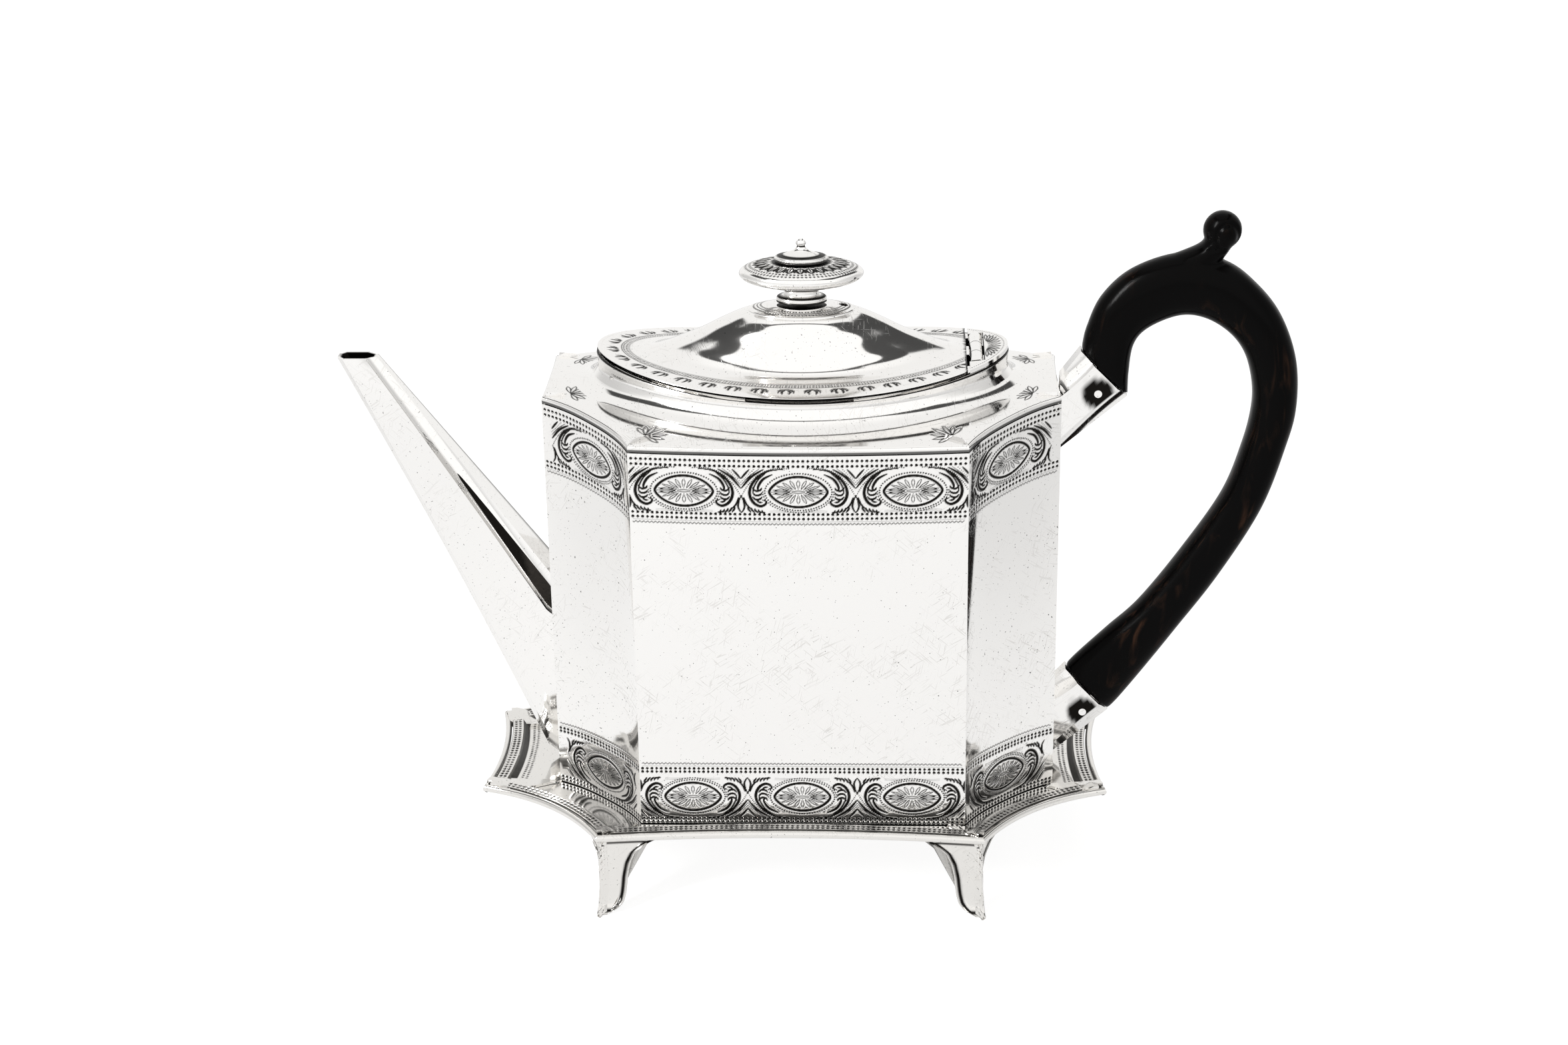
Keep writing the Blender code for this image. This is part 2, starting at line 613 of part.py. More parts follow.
def make_finial(bench):
    dome_top = LID_LEVEL + DOME_TOP
    around = even_directions(28)

    def plate_under(x, y):
        return dome_level(x, y) + PLATE_SEAT

    def plate_top(x, y):
        return plate_under(x, y) + PLATE_THICKNESS

    ovals = [oval(share * PLATE_HALF_LENGTH, share * PLATE_HALF_WIDTH, around)
             for share in (0.16, 0.3, 0.45, 0.6, 0.8, 1.0)]
    rings = [at_level(ring, plate_under) for ring in ovals]
    rings += [at_level(ring, plate_top) for ring in reversed(ovals)]
    plate = bench.add("finial_plate", loft("finial_plate", rings), bench.lid, SILVER)
    stud_hole = rod("plate_stud_hole", (0, 0, dome_top), (0, 0, 1), STUD_RADIUS + GAP, 12, steps=16)
    carve(plate, bench.cutter("plate_stud_cutter", stud_hole, bench.lid))
    vent = rod("plate_vent_hole", (VENT_X, 0, dome_top), (0, 0, 1), VENT_RADIUS, 14, steps=14)
    carve(plate, bench.cutter("plate_vent_cutter", vent, bench.lid))

    neck_foot = dome_top + PLATE_SEAT + PLATE_THICKNESS + GAP
    neck = [(NECK_RADIUS, neck_foot + NECK_HEIGHT), (NECK_RADIUS - 0.5, neck_foot + NECK_HEIGHT / 2),
            (NECK_RADIUS, neck_foot + 1.5), (NECK_RING_RADIUS, neck_foot + 1.3),
            (NECK_RING_RADIUS + 0.2, neck_foot + 0.7), (NECK_RING_RADIUS - 0.2, neck_foot)]
    bench.add("finial_neck", turning("finial_neck", neck, (0, 0), FINIAL_SQUASH), bench.lid, SILVER)

    disc_foot = neck_foot + NECK_HEIGHT + GAP
    middle_level = disc_foot + DISC_THICKNESS / 2
    disc = []
    for i in range(7):
        angle = pi * (0.5 - i / 6)
        flat = DISC_RADIUS - BUTTON_RADIUS
        disc.append((BUTTON_RADIUS + flat * cos(angle), middle_level + DISC_THICKNESS / 2 * sin(angle)))
    bench.add("finial_disc", turning("finial_disc", disc, (0, 0), FINIAL_SQUASH, 28), bench.lid, SILVER)

    foot = disc_foot + DISC_THICKNESS + GAP
    button = [(0.5, 1.0), (1.0, 0.95), (1.3, 0.83), (1.1, 0.68), (2.4, 0.48), (5.2, 0.3),
              (BUTTON_RADIUS, 0.2), (BUTTON_RADIUS + 0.1, 0.1), (BUTTON_RADIUS - 0.3, 0.0)]
    profile = [(radius, foot + share * BUTTON_HEIGHT) for radius, share in button]
    bench.add("finial_button", turning("finial_button", profile, (0, 0), FINIAL_SQUASH), bench.lid, SILVER)

    stud_top = neck_foot - GAP
    stud = rod("finial_stud", (0, 0, stud_top - STUD_LENGTH / 2), (0, 0, 1), STUD_RADIUS, STUD_LENGTH, 16)
    bench.add("finial_stud", stud, bench.lid, SILVER_DULL)
    washer_top = dome_level(0, WASHER_RADIUS) - SHEET - 2 * GAP
    bore = STUD_RADIUS + GAP
    washer = ring_solid("finial_washer", washer_top, WASHER_THICKNESS, WASHER_RADIUS, bore, 24)
    bench.add("finial_washer", washer, bench.lid, SILVER_DULL)
    nut_top = washer_top - WASHER_THICKNESS - GAP
    nut = ring_solid("finial_nut", nut_top, NUT_HEIGHT, NUT_RADIUS, bore, 12)
    bench.add("finial_nut", nut, bench.lid, SILVER_DULL)


def ring_solid(name, top, height, outer, inner, steps):
    around = even_directions(steps)
    edge = [outer if steps > 12 else outer * (1.0 if i % 2 == 0 else cos(pi / 6)) for i in range(steps)]
    out_ring = [(r * cos(a), r * sin(a)) for r, a in zip(edge, around)]
    in_ring = oval(inner, inner, around)
    rings = [at_level(out_ring, top), at_level(in_ring, top), at_level(in_ring, top - height),
             at_level(out_ring, top - height)]
    return loft(name, rings, closed=True)


# ---------------------------------------------------------------- spout


def blend(a, b, share):
    return tuple(p + (q - p) * share for p, q in zip(a, b))


def spout_corners(inner=0.0):
    """The eight edges of the spout, each as its foot on the wall and its end at the mouth."""
    wall = -(BODY_HALF_LENGTH - END_SAG + GAP) - 0.5
    lip = -SPOUT_REACH
    back = lip + SPOUT_MOUTH_LENGTH
    level = SPOUT_MOUTH_LEVEL
    half = SPOUT_HALF_WIDTH - inner
    foot_drop = inner * 1.7
    mouth_in = inner * 1.12
    feet = ((6.5 - inner * 0.45, SPOUT_TOP - foot_drop), (half, SPOUT_TOP - 9.7 - inner * 0.6),
            (4.6 - inner, SPOUT_FOOT + 6.2 + inner * 1.4), (1.8 - inner * 0.6, SPOUT_FOOT + foot_drop))
    mouths = ((1.3 - inner * 0.45, back - mouth_in), (3.4 - inner, back - 2.9 - inner * 0.4),
              (3.4 - inner, lip + 1.7 + inner * 0.4), (1.7 - inner * 0.45, lip + mouth_in))
    edges = []
    for (y, z), (mouth_y, mouth_x) in zip(feet, mouths):
        edges.append(((wall, y, z), (mouth_x, mouth_y, level)))
    return edges


def spout_ring(edges, share):
    """A section of the spout: share is 0 on the wall and 1 at the mouth. Its tail stands off the wall."""
    bow = SPOUT_HOLLOW * sin(pi * share)
    right = []
    for number, (foot, mouth) in enumerate(edges):
        off_wall = SPOUT_TAIL * (0.0, 0.3, 1.0, 1.0)[number] if share > 0 else 0.0
        start = (foot[0] - off_wall, foot[1], foot[2])
        x, y, z = blend(start, mouth, share)
        right.append((x + bow * number / 3, -y, z))
    return right + [(x, -y, z) for x, y, z in reversed(right)]


def make_spout(bench):
    shares = (0.0, 0.02, 0.25, 0.5, 0.75, 1.0)
    outer = [spout_ring(spout_corners(), share) for share in shares]
    inner = [spout_ring(spout_corners(SPOUT_SHEET), share) for share in reversed(shares)]
    bench.add("spout", loft("spout", outer + inner, closed=True, smooth_angle=0.3), bench.pot, SILVER)


# ---------------------------------------------------------------- handle and its sockets


def socket_ring(top, under, inner=0.0):
    """An eight-sided section between its top and bottom points in the plane of the handle."""
    length = hypot(under[0] - top[0], under[1] - top[1])
    half = SOCKET_HALF_WIDTH - inner
    stations = ((inner, 2.7 - inner * 0.4), (5.0 + inner * 0.4, half), (length - 4.2 - inner * 0.4, half),
                (length - inner, 1.6 - inner * 0.4))
    right = []
    for along, y in stations:
        x, z = blend(top, under, along / length)
        right.append((x, -y, z))
    return right + [(x, -y, z) for x, y, z in reversed(right)]


def mouth_axis(socket):
    """Middle of a socket's mouth and its outward direction, both in the plane of the handle."""
    (ax, az), (bx, bz) = socket["mouth"]
    length = hypot(bx - ax, bz - az)
    return ((ax + bx) / 2, (az + bz) / 2), (-(bz - az) / length, (bx - ax) / length), length


def make_socket(bench, name, socket):
    wall = BODY_HALF_LENGTH + GAP
    (top_z, under_z), (mouth_top, mouth_under) = socket["wall"], socket["mouth"]
    rings = []
    for inner in (0.0, SOCKET_SHEET):
        at_wall = socket_ring((wall, top_z), (wall, under_z), inner)
        at_mouth = socket_ring(mouth_top, mouth_under, inner)
        rings += [at_wall, at_mouth] if not inner else [at_mouth, at_wall]
    shell = bench.add(name, loft(name, rings, closed=True, smooth_angle=0.3), bench.pot, SILVER)
    x, z = socket["pin"]
    hole = rod(name + "_pin_hole", (x, 0, z), (0, 1, 0), SOCKET_PIN_RADIUS + GAP, 4 * SOCKET_HALF_WIDTH, 16)
    carve(shell, bench.cutter(name + "_pin_cutter", hole, bench.pot))
    pin_name = name.replace("socket", "handle_pin")
    pin = rod(pin_name, (x, 0, z), (0, 1, 0), SOCKET_PIN_RADIUS, 2 * SOCKET_HALF_WIDTH + 0.6, 16)
    bench.add(pin_name, pin, bench.pot, SILVER)
    return hole


def catmull(points, share):
    """A smooth curve through points of any number of values; share runs from 0 to 1."""
    spans = len(points) - 1
    place = min(share * spans, spans - 1e-9)
    index = int(place)
    t = place - index
    p0 = points[max(index - 1, 0)]
    p1, p2 = points[index], points[index + 1]
    p3 = points[min(index + 2, spans)]
    return tuple(
        0.5 * (2 * b + (c - a) * t + (2 * a - 5 * b + 4 * c - d) * t * t + (3 * b - a - 3 * c + d) * t ** 3)
        for a, b, c, d in zip(p0, p1, p2, p3))


def section(centre, across, half_across, half_width, steps=14, power=0.86):
    """A rounded section, given by its direction across the handle in the handle's plane."""
    ring = []
    for i in range(steps):
        angle = tau * i / steps
        u = abs(cos(angle)) ** power * (1 if cos(angle) >= 0 else -1) * half_across
        v = abs(sin(angle)) ** power * (1 if sin(angle) >= 0 else -1) * half_width
        ring.append((centre[0] + across[0] * u, v, centre[1] + across[1] * u))
    return ring


def socket_end(socket):
    """The handle's end face over a socket, as its outer and inner edge."""
    _, (out_x, out_z), _ = mouth_axis(socket)
    (ax, az), (bx, bz) = socket["mouth"]
    return (ax + out_x * GAP, az + out_z * GAP, bx + out_x * GAP, bz + out_z * GAP)


def make_handle(bench, pin_holes):
    (upper, up_out, _), (lower, low_out, _) = mouth_axis(UPPER_SOCKET), mouth_axis(LOWER_SOCKET)
    finish = socket_end(LOWER_SOCKET)
    stations = (socket_end(UPPER_SOCKET),) + HANDLE_STATIONS + ((finish[2], finish[3], finish[0], finish[1]),)
    steps = 2 * (len(stations) - 1)
    rings = []
    for i in range(steps + 1):
        share = i / steps
        out_x, out_z, in_x, in_z = catmull(stations, share)
        thick = hypot(out_x - in_x, out_z - in_z)
        across = ((out_x - in_x) / thick, (out_z - in_z) / thick)
        fullness = sin(pi * share) ** 0.5
        half_width = HANDLE_END_HALF_WIDTH + (HANDLE_HALF_WIDTH - HANDLE_END_HALF_WIDTH) * fullness
        rings.append(section(((out_x + in_x) / 2, (out_z + in_z) / 2), across, thick / 2, half_width))
    handle = bench.add("handle", loft("handle", rings, smooth_angle=0.9), bench.pot, EBONY)
    for name, centre, out in (("upper_tenon", upper, up_out), ("lower_tenon", lower, low_out)):
        across = (-out[1], out[0])
        ends = [(centre[0] + out[0] * d, centre[1] + out[1] * d) for d in (2.0, -TENON_LENGTH)]
        tenon = [section(end, across, TENON_ACROSS / 2, TENON_HALF_WIDTH, 12, 0.5) for end in ends]
        carve(handle, bench.cutter(name, loft(name, tenon), bench.pot), "UNION")
    cx, cz = SCROLL_CENTRE
    neck = [section((cx - 3.5, cz - 15), (1, 0), 4.0, 4.6, 12),
            section((cx - 1.0, cz - 7), (1, 0), 3.0, 4.4, 12), section((cx, cz), (1, 0), 3.4, 4.2, 12)]
    carve(handle, bench.cutter("scroll_neck", loft("scroll_neck", neck), bench.pot), "UNION")
    ball = [section((cx, cz + SCROLL_RADIUS * sin(a)), (1, 0), max(SCROLL_RADIUS * cos(a), 0.3),
                    max(SCROLL_HALF_WIDTH * cos(a), 0.3), 16, 1.0)
            for a in [pi * (i / 8 - 0.5) for i in range(9)]]
    carve(handle, bench.cutter("scroll_ball", loft("scroll_ball", ball), bench.pot), "UNION")
    for number, hole in enumerate(pin_holes):
        carve(handle, bench.cutter("tenon_pin_cutter_%d" % number, hole, bench.pot))


# ---------------------------------------------------------------- stand


def make_tray(bench):
    plan = stand_plan()
    wire_in = inset(plan, RIM_WIRE_WIDTH + GAP)
    rim_in = inset(plan, RIM_WIRE_WIDTH + GAP + RIM_WIDTH)
    floor_edge = inset(plan, RIM_WIRE_WIDTH + GAP + RIM_WIDTH + TRAY_WALL_SLOPE)
    rim_top = FLOOR_TOP + TRAY_DEPTH
    top = [at_level(wire_in, rim_top), at_level(rim_in, rim_top), at_level(floor_edge, FLOOR_TOP)]
    under_floor = inset(plan, RIM_WIRE_WIDTH + GAP + RIM_WIDTH - SHEET + TRAY_WALL_SLOPE)
    under_rim = inset(plan, RIM_WIRE_WIDTH + GAP + RIM_WIDTH - SHEET)
    under = [at_level(wire_in, rim_top - SHEET), at_level(under_rim, rim_top - SHEET),
             at_level(under_floor, FLOOR_TOP - SHEET)]
    rings = list(reversed(under)) + top
    bench.add("stand_tray", loft("stand_tray", rings), bench.stand, SILVER)
    wire_top = rim_top + 0.2
    half = RIM_WIRE_HEIGHT / 2
    wire = []
    for i in range(6):
        angle = tau * (i + 0.5) / 6
        reach = RIM_WIRE_WIDTH / 2 * (1 - cos(angle))
        wire.append(at_level(inset(plan, reach), wire_top - half + half * sin(angle)))
    bench.add("stand_rim_wire", loft("stand_rim_wire", wire, closed=True), bench.stand, SILVER)


def foot_path(plan, corner, reach, steps):
    """Points round one corner of the plan, from reach before it to reach after it, with the corner eased."""
    count = len(plan)
    path = []
    for i in range(-steps, steps + 1):
        along = reach * abs(i) / steps
        step = 1 if i >= 0 else -1
        index = corner
        while True:
            here, there = plan[index % count], plan[(index + step) % count]
            length = hypot(there[0] - here[0], there[1] - here[1])
            if along <= length:
                break
            along -= length
            index += step
        path.append(blend(here, there, along / length))
    return path


def make_foot(bench, name, flip_x, flip_y):
    plan = inset(stand_plan(), FOOT_SET_BACK)
    corner = 0
    columns = 8
    tray_rim_under = FLOOR_TOP + TRAY_DEPTH - SHEET - GAP
    rows_out, rows_in = [], []
    inner_plan = inset(plan, FOOT_SHEET)
    for share, half_width in FOOT_OUTLINE:
        level = tray_rim_under * (1 - share)
        toe = FOOT_TOE * max(0.0, (share - 0.45) / 0.55) ** 2
        for rows, base in ((rows_out, plan), (rows_in, inner_plan)):
            path = foot_path(base, corner, half_width, columns)
            rows.append([outward(point, toe, level, flip_x, flip_y) for point in path])
    bm = bmesh.new()
    skins = []
    for rows in (rows_out, rows_in):
        skins.append([[bm.verts.new(Vector(point) * MM) for point in row] for row in rows])
    front, back = skins
    last = len(front[0]) - 1
    for r in range(len(front) - 1):
        for c in range(last):
            bm.faces.new((front[r][c], front[r][c + 1], front[r + 1][c + 1], front[r + 1][c]))
            bm.faces.new((back[r][c], back[r + 1][c], back[r + 1][c + 1], back[r][c + 1]))
        for c in (0, last):
            bm.faces.new((front[r][c], front[r + 1][c], back[r + 1][c], back[r][c]))
    for r in (0, len(front) - 1):
        for c in range(last):
            bm.faces.new((front[r][c], front[r][c + 1], back[r][c + 1], back[r][c]))
    bench.add(name, finish_mesh(name, bm), bench.stand, SILVER)


def outward(point, toe, level, flip_x, flip_y):
    """Carries a point of the front left foot out along its corner's own direction, then to its own corner."""
    x = point[0] - toe * 0.5
    y = point[1] - toe * 0.87
    return (-x if flip_x else x, -y if flip_y else y, level)


def make_stand(bench):
    make_tray(bench)
    for y_name, flip_y in (("front", False), ("back", True)):
        for x_name, flip_x in (("left", False), ("right", True)):
            make_foot(bench, "stand_foot_%s_%s" % (y_name, x_name), flip_x, flip_y)


def main():
    clear_scene()
    bench = Bench()
    make_stand(bench)
    make_walls(bench)
    make_deck(bench)
    make_seat(bench)
    make_hinge(bench)
    make_spout(bench)
    pin_holes = [make_socket(bench, "upper_socket", UPPER_SOCKET),
                 make_socket(bench, "lower_socket", LOWER_SOCKET)]
    make_handle(bench, pin_holes)
    make_lid(bench)
    make_finial(bench)


main()
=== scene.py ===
"""Looks of an eight-sided engraved silver teapot on its footed stand.

Every length is in millimetres until a mesh is made. The pot's own pieces are
drawn round the pot's axis, with zero at its underside, and the stand's pieces
round the middle of the tray, with zero on the table.
"""

from __future__ import annotations

import logging
import math
from dataclasses import dataclass
from enum import Enum
from functools import partial, reduce

import bpy
import numpy as np
from mathutils import Matrix, Vector

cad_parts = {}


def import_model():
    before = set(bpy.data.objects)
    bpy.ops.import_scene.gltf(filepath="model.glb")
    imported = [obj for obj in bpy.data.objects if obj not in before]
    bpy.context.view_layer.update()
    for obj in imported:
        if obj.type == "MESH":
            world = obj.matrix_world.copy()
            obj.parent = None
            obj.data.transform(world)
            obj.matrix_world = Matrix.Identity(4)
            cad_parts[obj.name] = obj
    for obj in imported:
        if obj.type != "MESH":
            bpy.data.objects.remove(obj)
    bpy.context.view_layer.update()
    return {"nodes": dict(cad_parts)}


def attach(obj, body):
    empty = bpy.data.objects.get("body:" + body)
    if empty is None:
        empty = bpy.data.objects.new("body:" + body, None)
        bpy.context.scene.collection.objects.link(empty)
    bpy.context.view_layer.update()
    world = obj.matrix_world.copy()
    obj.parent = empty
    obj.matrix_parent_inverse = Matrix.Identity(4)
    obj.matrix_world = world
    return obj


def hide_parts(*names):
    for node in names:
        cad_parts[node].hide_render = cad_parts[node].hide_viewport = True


LOG = logging.getLogger("teapot")
MM = 0.001
POT_PLACE = (-3.7, 0.0, 23.5)
STAND_PLACE = (-7.0, 0.0, 0.0)
SHEET = 1.0
SEAM = 0.3  # the gap between pieces that lie against each other
LID_LEVEL = 124.05
LID_HALF_LENGTH = 56.8
LID_HALF_WIDTH = 30.2
TRAY_FLOOR = 23.2
TRAY_DEPTH = 1.9
SEAM_SHADE = 0.09  # depth of the painted shade line along a seam
DARKEST_CUT = 0.07  # cuts this deep or deeper are fully dark


class Rider(Enum):
    """The bodies that pieces ride on."""

    STAND = "stand"
    POT = "teapot"
    LID = "lid"


class Place(Enum):
    """Where the zero of a drawing stands, in the frame."""

    POT = POT_PLACE
    STAND = STAND_PLACE


# ------------------------------------------------------------------ curves and plans


def smoothstep(low: float, high: float, value: np.ndarray) -> np.ndarray:
    """Eases from 0 at low to 1 at high."""
    share = np.clip((value - low) / (high - low), 0.0, 1.0)
    return share * share * (3 - 2 * share)


def catmull(points: list[tuple[float, ...]], count: int) -> np.ndarray:
    """Reads a smooth curve through points.

    Args:
        points: The points that it passes through.
        count: How many points to read along it.

    Returns:
        An array with one row for each point read.
    """
    knots = np.array(points, float)
    padded = np.vstack([knots[:1], knots, knots[-1:]])
    spans = len(knots) - 1
    place = np.minimum(np.linspace(0, spans, count), spans - 1e-9)
    index = place.astype(int)
    t = (place - index)[:, None]
    a, b, c, d = (padded[index + k] for k in range(4))
    return 0.5 * (2 * b + (c - a) * t + (2 * a - 5 * b + 4 * c - d) * t**2 + (3 * b - a - 3 * c + d) * t**3)


def running_length(line: np.ndarray) -> np.ndarray:
    """Gives the distance along a polyline at each of its points."""
    return np.concatenate([[0.0], np.cumsum(np.hypot(*np.diff(line, axis=0).T))])


def level_line(start: float, end: float, level: float) -> np.ndarray:
    """Draws a straight line at one level of a sheet."""
    return np.array([(start, level), (end, level)])


def even_spacing(points: np.ndarray, pitch: float) -> np.ndarray:
    """Reads a polyline again at an even pitch."""
    along = running_length(points)
    count = max(int(round(along[-1] / pitch)), 2)
    places = np.linspace(0, along[-1], count + 1)
    return np.stack([np.interp(places, along, points[:, k]) for k in range(points.shape[1])], axis=1)


def hollow_side(start: tuple[float, float], end: tuple[float, float], sag: float, count: int,
                power: float = 2.0) -> np.ndarray:
    """Draws one side of a plan as a curve that bows inwards.

    Args:
        start: Its first corner.
        end: Its last corner.
        sag: How far its middle lies inside the straight line.
        count: The number of steps along it.
        power: 2 for an even curve, more for one that is steeper at its ends.

    Returns:
        The points from start up to, but without, end.
    """
    ax, ay = start
    dx, dy = end[0] - ax, end[1] - ay
    chord = math.hypot(dx, dy)
    share = np.arange(count) / count
    bow = sag * (1 - np.abs(2 * share - 1) ** power)
    return np.stack([ax + dx * share - dy / chord * bow, ay + dy * share + dx / chord * bow], axis=1)


@dataclass(frozen=True)
class EightSides:
    """A plan with long front and back sides, canted corners and short ends."""

    half_length: float
    half_depth: float
    front_half: float
    end_half: float
    sags: tuple[float, float, float]
    power: float = 2.0

    def corners(self) -> list[tuple[float, float]]:
        """Gives the corners anticlockwise from the front left one."""
        long, deep, front, end = self.half_length, self.half_depth, self.front_half, self.end_half
        return [(-front, -deep), (front, -deep), (long, -end), (long, end),
                (front, deep), (-front, deep), (-long, end), (-long, -end)]

    def outline(self, pitch: float) -> tuple[np.ndarray, list[int]]:
        """Draws the whole plan finely.

        Args:
            pitch: About how far apart its points are.

        Returns:
            The points all round, and the index at which each side starts.
        """
        corners, sides, starts = self.corners(), [], []
        front, cant, end = self.sags
        for k, sag in enumerate((front, cant, end, cant) * 2):
            here, there = corners[k], corners[(k + 1) % 8]
            count = 2 * math.ceil(math.dist(here, there) / pitch / 2)
            starts.append(sum(len(side) for side in sides))
            sides.append(hollow_side(here, there, sag, count, self.power))
        return np.vstack(sides), starts


BODY = EightSides(71.0, 42.4, 45.4, 17.2, (0.0, 2.4, 0.5), 2.6)
TRAY = EightSides(89.4, 54.0, 53.9, 24.2, (3.2, 5.0, 2.6))
END_FACE = BODY.half_length + SEAM  # where the spout and the sockets start


def inset(plan: np.ndarray, distance: float) -> np.ndarray:
    """Moves a closed plan inwards by an equal distance all round."""
    ahead = np.roll(plan, -1, axis=0) - plan
    ahead /= np.linalg.norm(ahead, axis=1, keepdims=True)
    after = np.stack([-ahead[:, 1], ahead[:, 0]], axis=1)
    before = np.roll(after, 1, axis=0)
    scale = distance / (1 + (after * before).sum(axis=1, keepdims=True))
    return plan + (after + before) * scale


def oval(half_length: float, half_width: float, turns: np.ndarray) -> np.ndarray:
    """Draws an oval with one point for each angle."""
    return np.stack([half_length * np.cos(turns), half_width * np.sin(turns)], axis=1)


def deck_level(x: np.ndarray, y: np.ndarray) -> np.ndarray:
    """Gives the height of the deck, which sweeps up to its ends and is crowned."""
    return 112.7 + 2.3 * (x / BODY.half_length) ** 2 + 4.0 * (1 - (y / BODY.half_depth) ** 2)


def lid_level(x: np.ndarray, y: np.ndarray) -> np.ndarray:
    """Gives the height of the lid's flat border, carried across the middle."""
    return LID_LEVEL + 3.8 * (x / LID_HALF_LENGTH) ** 2 - 1.8 * (y / LID_HALF_WIDTH) ** 2


def raised(plan: np.ndarray, level: np.ndarray) -> np.ndarray:
    """Gives a plan its heights."""
    return np.column_stack([plan, np.broadcast_to(level, len(plan))])


# ------------------------------------------------------------------ the engraver's work


class Graving:
    """A sheet of engraver's cuts, kept as a depth at each point of a fine grid."""

    def __init__(self, left: float, right: float, low: float, high: float, pitch: float = 0.1) -> None:
        """Lays out an uncut sheet between its four sides."""
        self.left, self.low, self.pitch = left, low, pitch
        self.depth = np.zeros((int((high - low) / pitch) + 2, int((right - left) / pitch) + 2))

    def _window(self, x: np.ndarray, y: np.ndarray,
                reach: float) -> tuple[slice, slice, np.ndarray, np.ndarray] | None:
        """Finds the grid points near some points.

        Args:
            x: Their places across.
            y: Their places up.
            reach: How far round them to look.

        Returns:
            The rows and columns, and the places of the grid points, or None off the sheet.
        """
        rows, columns = self.depth.shape
        c0 = max(int((x.min() - reach - self.left) / self.pitch), 0)
        c1 = min(int((x.max() + reach - self.left) / self.pitch) + 2, columns)
        r0 = max(int((y.min() - reach - self.low) / self.pitch), 0)
        r1 = min(int((y.max() + reach - self.low) / self.pitch) + 2, rows)
        if c0 >= c1 or r0 >= r1:
            return None
        gx = self.left + np.arange(c0, c1) * self.pitch
        gy = self.low + np.arange(r0, r1) * self.pitch
        return slice(r0, r1), slice(c0, c1), gx[None, :], gy[:, None]

    def line(self, points: np.ndarray, width: float = 0.25, depth: float = 0.12, swell: bool = False) -> None:
        """Cuts a line through points.

        Args:
            points: The points that it passes through.
            width: Half its width at its widest.
            depth: How deep its middle is.
            swell: Whether it starts and ends in a fine point.
        """
        steps = len(points) - 1
        for k in range(steps):
            (ax, ay), (bx, by) = points[k], points[k + 1]
            window = self._window(np.array([ax, bx]), np.array([ay, by]), width)
            if window is None:
                continue
            rows, columns, gx, gy = window
            dx, dy = bx - ax, by - ay
            t = np.clip(((gx - ax) * dx + (gy - ay) * dy) / (dx * dx + dy * dy + 1e-12), 0, 1)
            away = np.hypot(gx - ax - dx * t, gy - ay - dy * t)
            half = width * (0.25 + 0.75 * np.sin(np.pi * (k + t) / steps) ** 0.7) if swell else width
            cut = depth * np.clip(1 - away / half, 0, 1) ** 0.8
            self.depth[rows, columns] = np.maximum(self.depth[rows, columns], cut)

    def curve(self, points: list[tuple[float, float]], width: float = 0.25, depth: float = 0.12) -> None:
        """Cuts a swelling line on a smooth curve through points."""
        self.line(catmull(points, 4 * len(points)), width, depth, swell=True)

    def dot(self, x: float, y: float, radius: float, depth: float) -> None:
        """Strikes one round punch mark."""
        window = self._window(np.array([x]), np.array([y]), radius)
        if window is None:
            return
        rows, columns, gx, gy = window
        cut = depth * np.sqrt(np.clip(1 - (np.hypot(gx - x, gy - y) / radius) ** 2, 0, 1))
        self.depth[rows, columns] = np.maximum(self.depth[rows, columns], cut)

    def dots(self, points: np.ndarray, pitch: float, radius: float, depth: float) -> None:
        """Strikes a row of punch marks at an even pitch along a polyline."""
        for x, y in even_spacing(points, pitch):
            self.dot(x, y, radius, depth)

    def leaf(self, foot: tuple[float, float], tip: tuple[float, float], width: float,
             cut: float = 0.2) -> None:
        """Outlines a small leaf with two bowed cuts from its foot to its tip."""
        ax, ay = foot
        dx, dy = tip[0] - ax, tip[1] - ay
        long = math.hypot(dx, dy)
        nx, ny = -dy / long * width / 2, dx / long * width / 2
        for side in (-1, 1):
            middle = (ax + dx * 0.6 + nx * side, ay + dy * 0.6 + ny * side)
            self.curve([foot, middle, tip], cut)

    def read(self, x: np.ndarray, y: np.ndarray) -> np.ndarray:
        """Reads the depth at places on the sheet.

        Args:
            x: The places across.
            y: The places up.

        Returns:
            The depth of cut at each place, 0 off the sheet.
        """
        rows, columns = self.depth.shape
        fx, fy = (x - self.left) / self.pitch, (y - self.low) / self.pitch
        on = (fx >= 0) & (fx < columns - 1) & (fy >= 0) & (fy < rows - 1)
        ix, iy = np.clip(fx, 0, columns - 2).astype(int), np.clip(fy, 0, rows - 2).astype(int)
        tx, ty = np.clip(fx - ix, 0, 1), np.clip(fy - iy, 0, 1)
        grid = self.depth
        low = grid[iy, ix] * (1 - tx) + grid[iy, ix + 1] * tx
        high = grid[iy + 1, ix] * (1 - tx) + grid[iy + 1, ix + 1] * tx
        return np.where(on, low * (1 - ty) + high * ty, 0.0)


def pointed_oval(half_length: float, half_height: float, power: float, count: int = 73) -> np.ndarray:
    """Draws an oval that comes to a point at each end."""
    turn = np.linspace(0, math.tau, count)
    rise = np.sign(np.sin(turn)) * np.abs(np.sin(turn)) ** power
    return np.stack([half_length * np.cos(turn), half_height * rise], axis=1)


